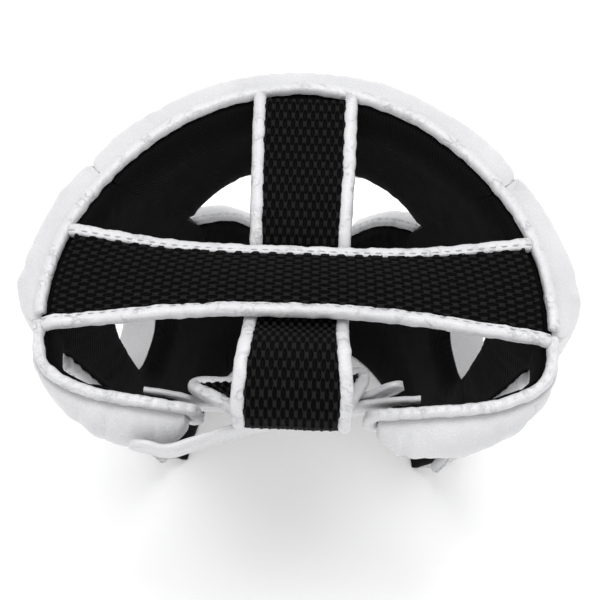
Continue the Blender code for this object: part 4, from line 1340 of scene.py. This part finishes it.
    def build(self) -> None:
        """Builds every sub-assembly."""
        self.forehead()
        for side in Side:
            self.side(side)
            self.cheek(side)
            self.rear(side)
            self.neck(side)
        self.top_bindings()
        crown = Crown()
        crown.straps(self.finishes)
        crown.bindings(self.finishes)
        inside = -(REAR_LINING_THICKNESS + FIT_GAP + CLOSURE_THICKNESS / 2)
        outside = REAR_PAD_THICKNESS + FIT_GAP + CLOSURE_THICKNESS / 2
        outer = [self.on_panel(OUTER_ROOT, inside, Side.RIGHT),
                 self.under_flap(OUTER_BRIDGE, crown), self.on_panel(OUTER_TAB, outside, Side.LEFT)]
        inner = [self.on_panel(INNER_ROOT, inside, Side.LEFT), self.under_flap(INNER_BRIDGE, crown)]
        Closure("outer_closure_strap", np.concatenate(outer), 71).build(self.finishes)
        Closure("inner_closure_strap", np.concatenate(inner), 72).build(self.finishes)


@dataclass(frozen=True)
class Studio:
    """Camera, floor and lights."""

    target: Place = (0.0, 45 * MM + EAR_LINE_Y, 130 * MM)
    elevation: float = 56.0
    swing: float = 2.3
    distance: float = 750 * MM
    lens: float = 109.8
    floor_half: float = 3.0
    sky: float = 1.2
    # Name, place, size in metres and power in watts of each light.
    lights: tuple[tuple[str, Place, float, float], ...] = (
        ("key_light", (0.1, 0.12, 1.9), 0.8, 16.0), ("fill_light", (-1.4, -0.5, 1.3), 1.4, 2.0))

    def aim(self, made: bpy.types.Object, place: Grid, target: Grid) -> None:
        """Puts an object at a place and turns it to look at a target."""
        back = unit(place - target)
        right = unit(np.cross(np.array([0, 0, 1.0]), back))
        up = np.cross(back, right)
        matrix = np.eye(4)
        matrix[:3, 0], matrix[:3, 1], matrix[:3, 2], matrix[:3, 3] = right, up, back, place
        made.matrix_world = [tuple(row) for row in matrix.T.tolist()]

    def camera(self) -> None:
        """The camera behind and above the guard."""
        data = bpy.data.cameras.new("photo_camera")
        data.lens = self.lens
        data.sensor_width = 36
        data.clip_start = 0.01
        made = linked("photo_camera", data)
        swing, rise = math.radians(self.swing), math.radians(self.elevation)
        way = np.array([math.sin(swing) * math.cos(rise), -math.cos(swing) * math.cos(rise),
                        math.sin(rise)])
        target = np.array(self.target)
        self.aim(made, target + way * self.distance, target)
        bpy.context.scene.camera = made

    def floor(self) -> None:
        """A wide pale floor."""
        half = self.floor_half
        mesh = bpy.data.meshes.new("studio_floor")
        mesh.from_pydata([(-half, -half, 0), (half, -half, 0), (half, half, 0), (-half, half, 0)],
                         [], [(0, 1, 2, 3)])
        mesh.materials.append(FLOOR.build())
        made = linked("studio_floor", mesh)

    def lamp(self, name: str, place: Place, size: float, power: float) -> None:
        """A square soft light that looks at the guard."""
        data = bpy.data.lights.new(name, "AREA")
        data.shape = "SQUARE"
        data.size = size
        data.energy = power
        self.aim(linked(name, data), np.array(place), np.array(self.target))

    def build(self) -> None:
        """Sets up the studio."""
        self.camera()
        self.floor()
        for light in self.lights:
            self.lamp(*light)
        world = bpy.data.worlds.new("studio")
        world.use_nodes = True
        back = world.node_tree.nodes["Background"]
        back.inputs["Color"].default_value = (1, 1, 1, 1)
        back.inputs["Strength"].default_value = self.sky
        bpy.context.scene.world = world
        bpy.context.scene.view_settings.view_transform = "Standard"


def main() -> None:
    """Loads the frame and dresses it."""
    logging.basicConfig(level=logging.INFO, format="%(message)s")
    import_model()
    # The tape's wrinkles are finer, wider and stronger, with more painted shade in the crease
    # colour.
    tape = Leather("white_tape", wrinkle_scale=260.0, wrinkle_width=0.09, wrinkle_share=0.6)
    finishes = Finishes(*(finish.build() for finish in (Leather(), tape, Lining(), Net(), THREAD)))
    Guard(finishes).build()
    Studio().build()


if __name__ == "__main__":
    main()
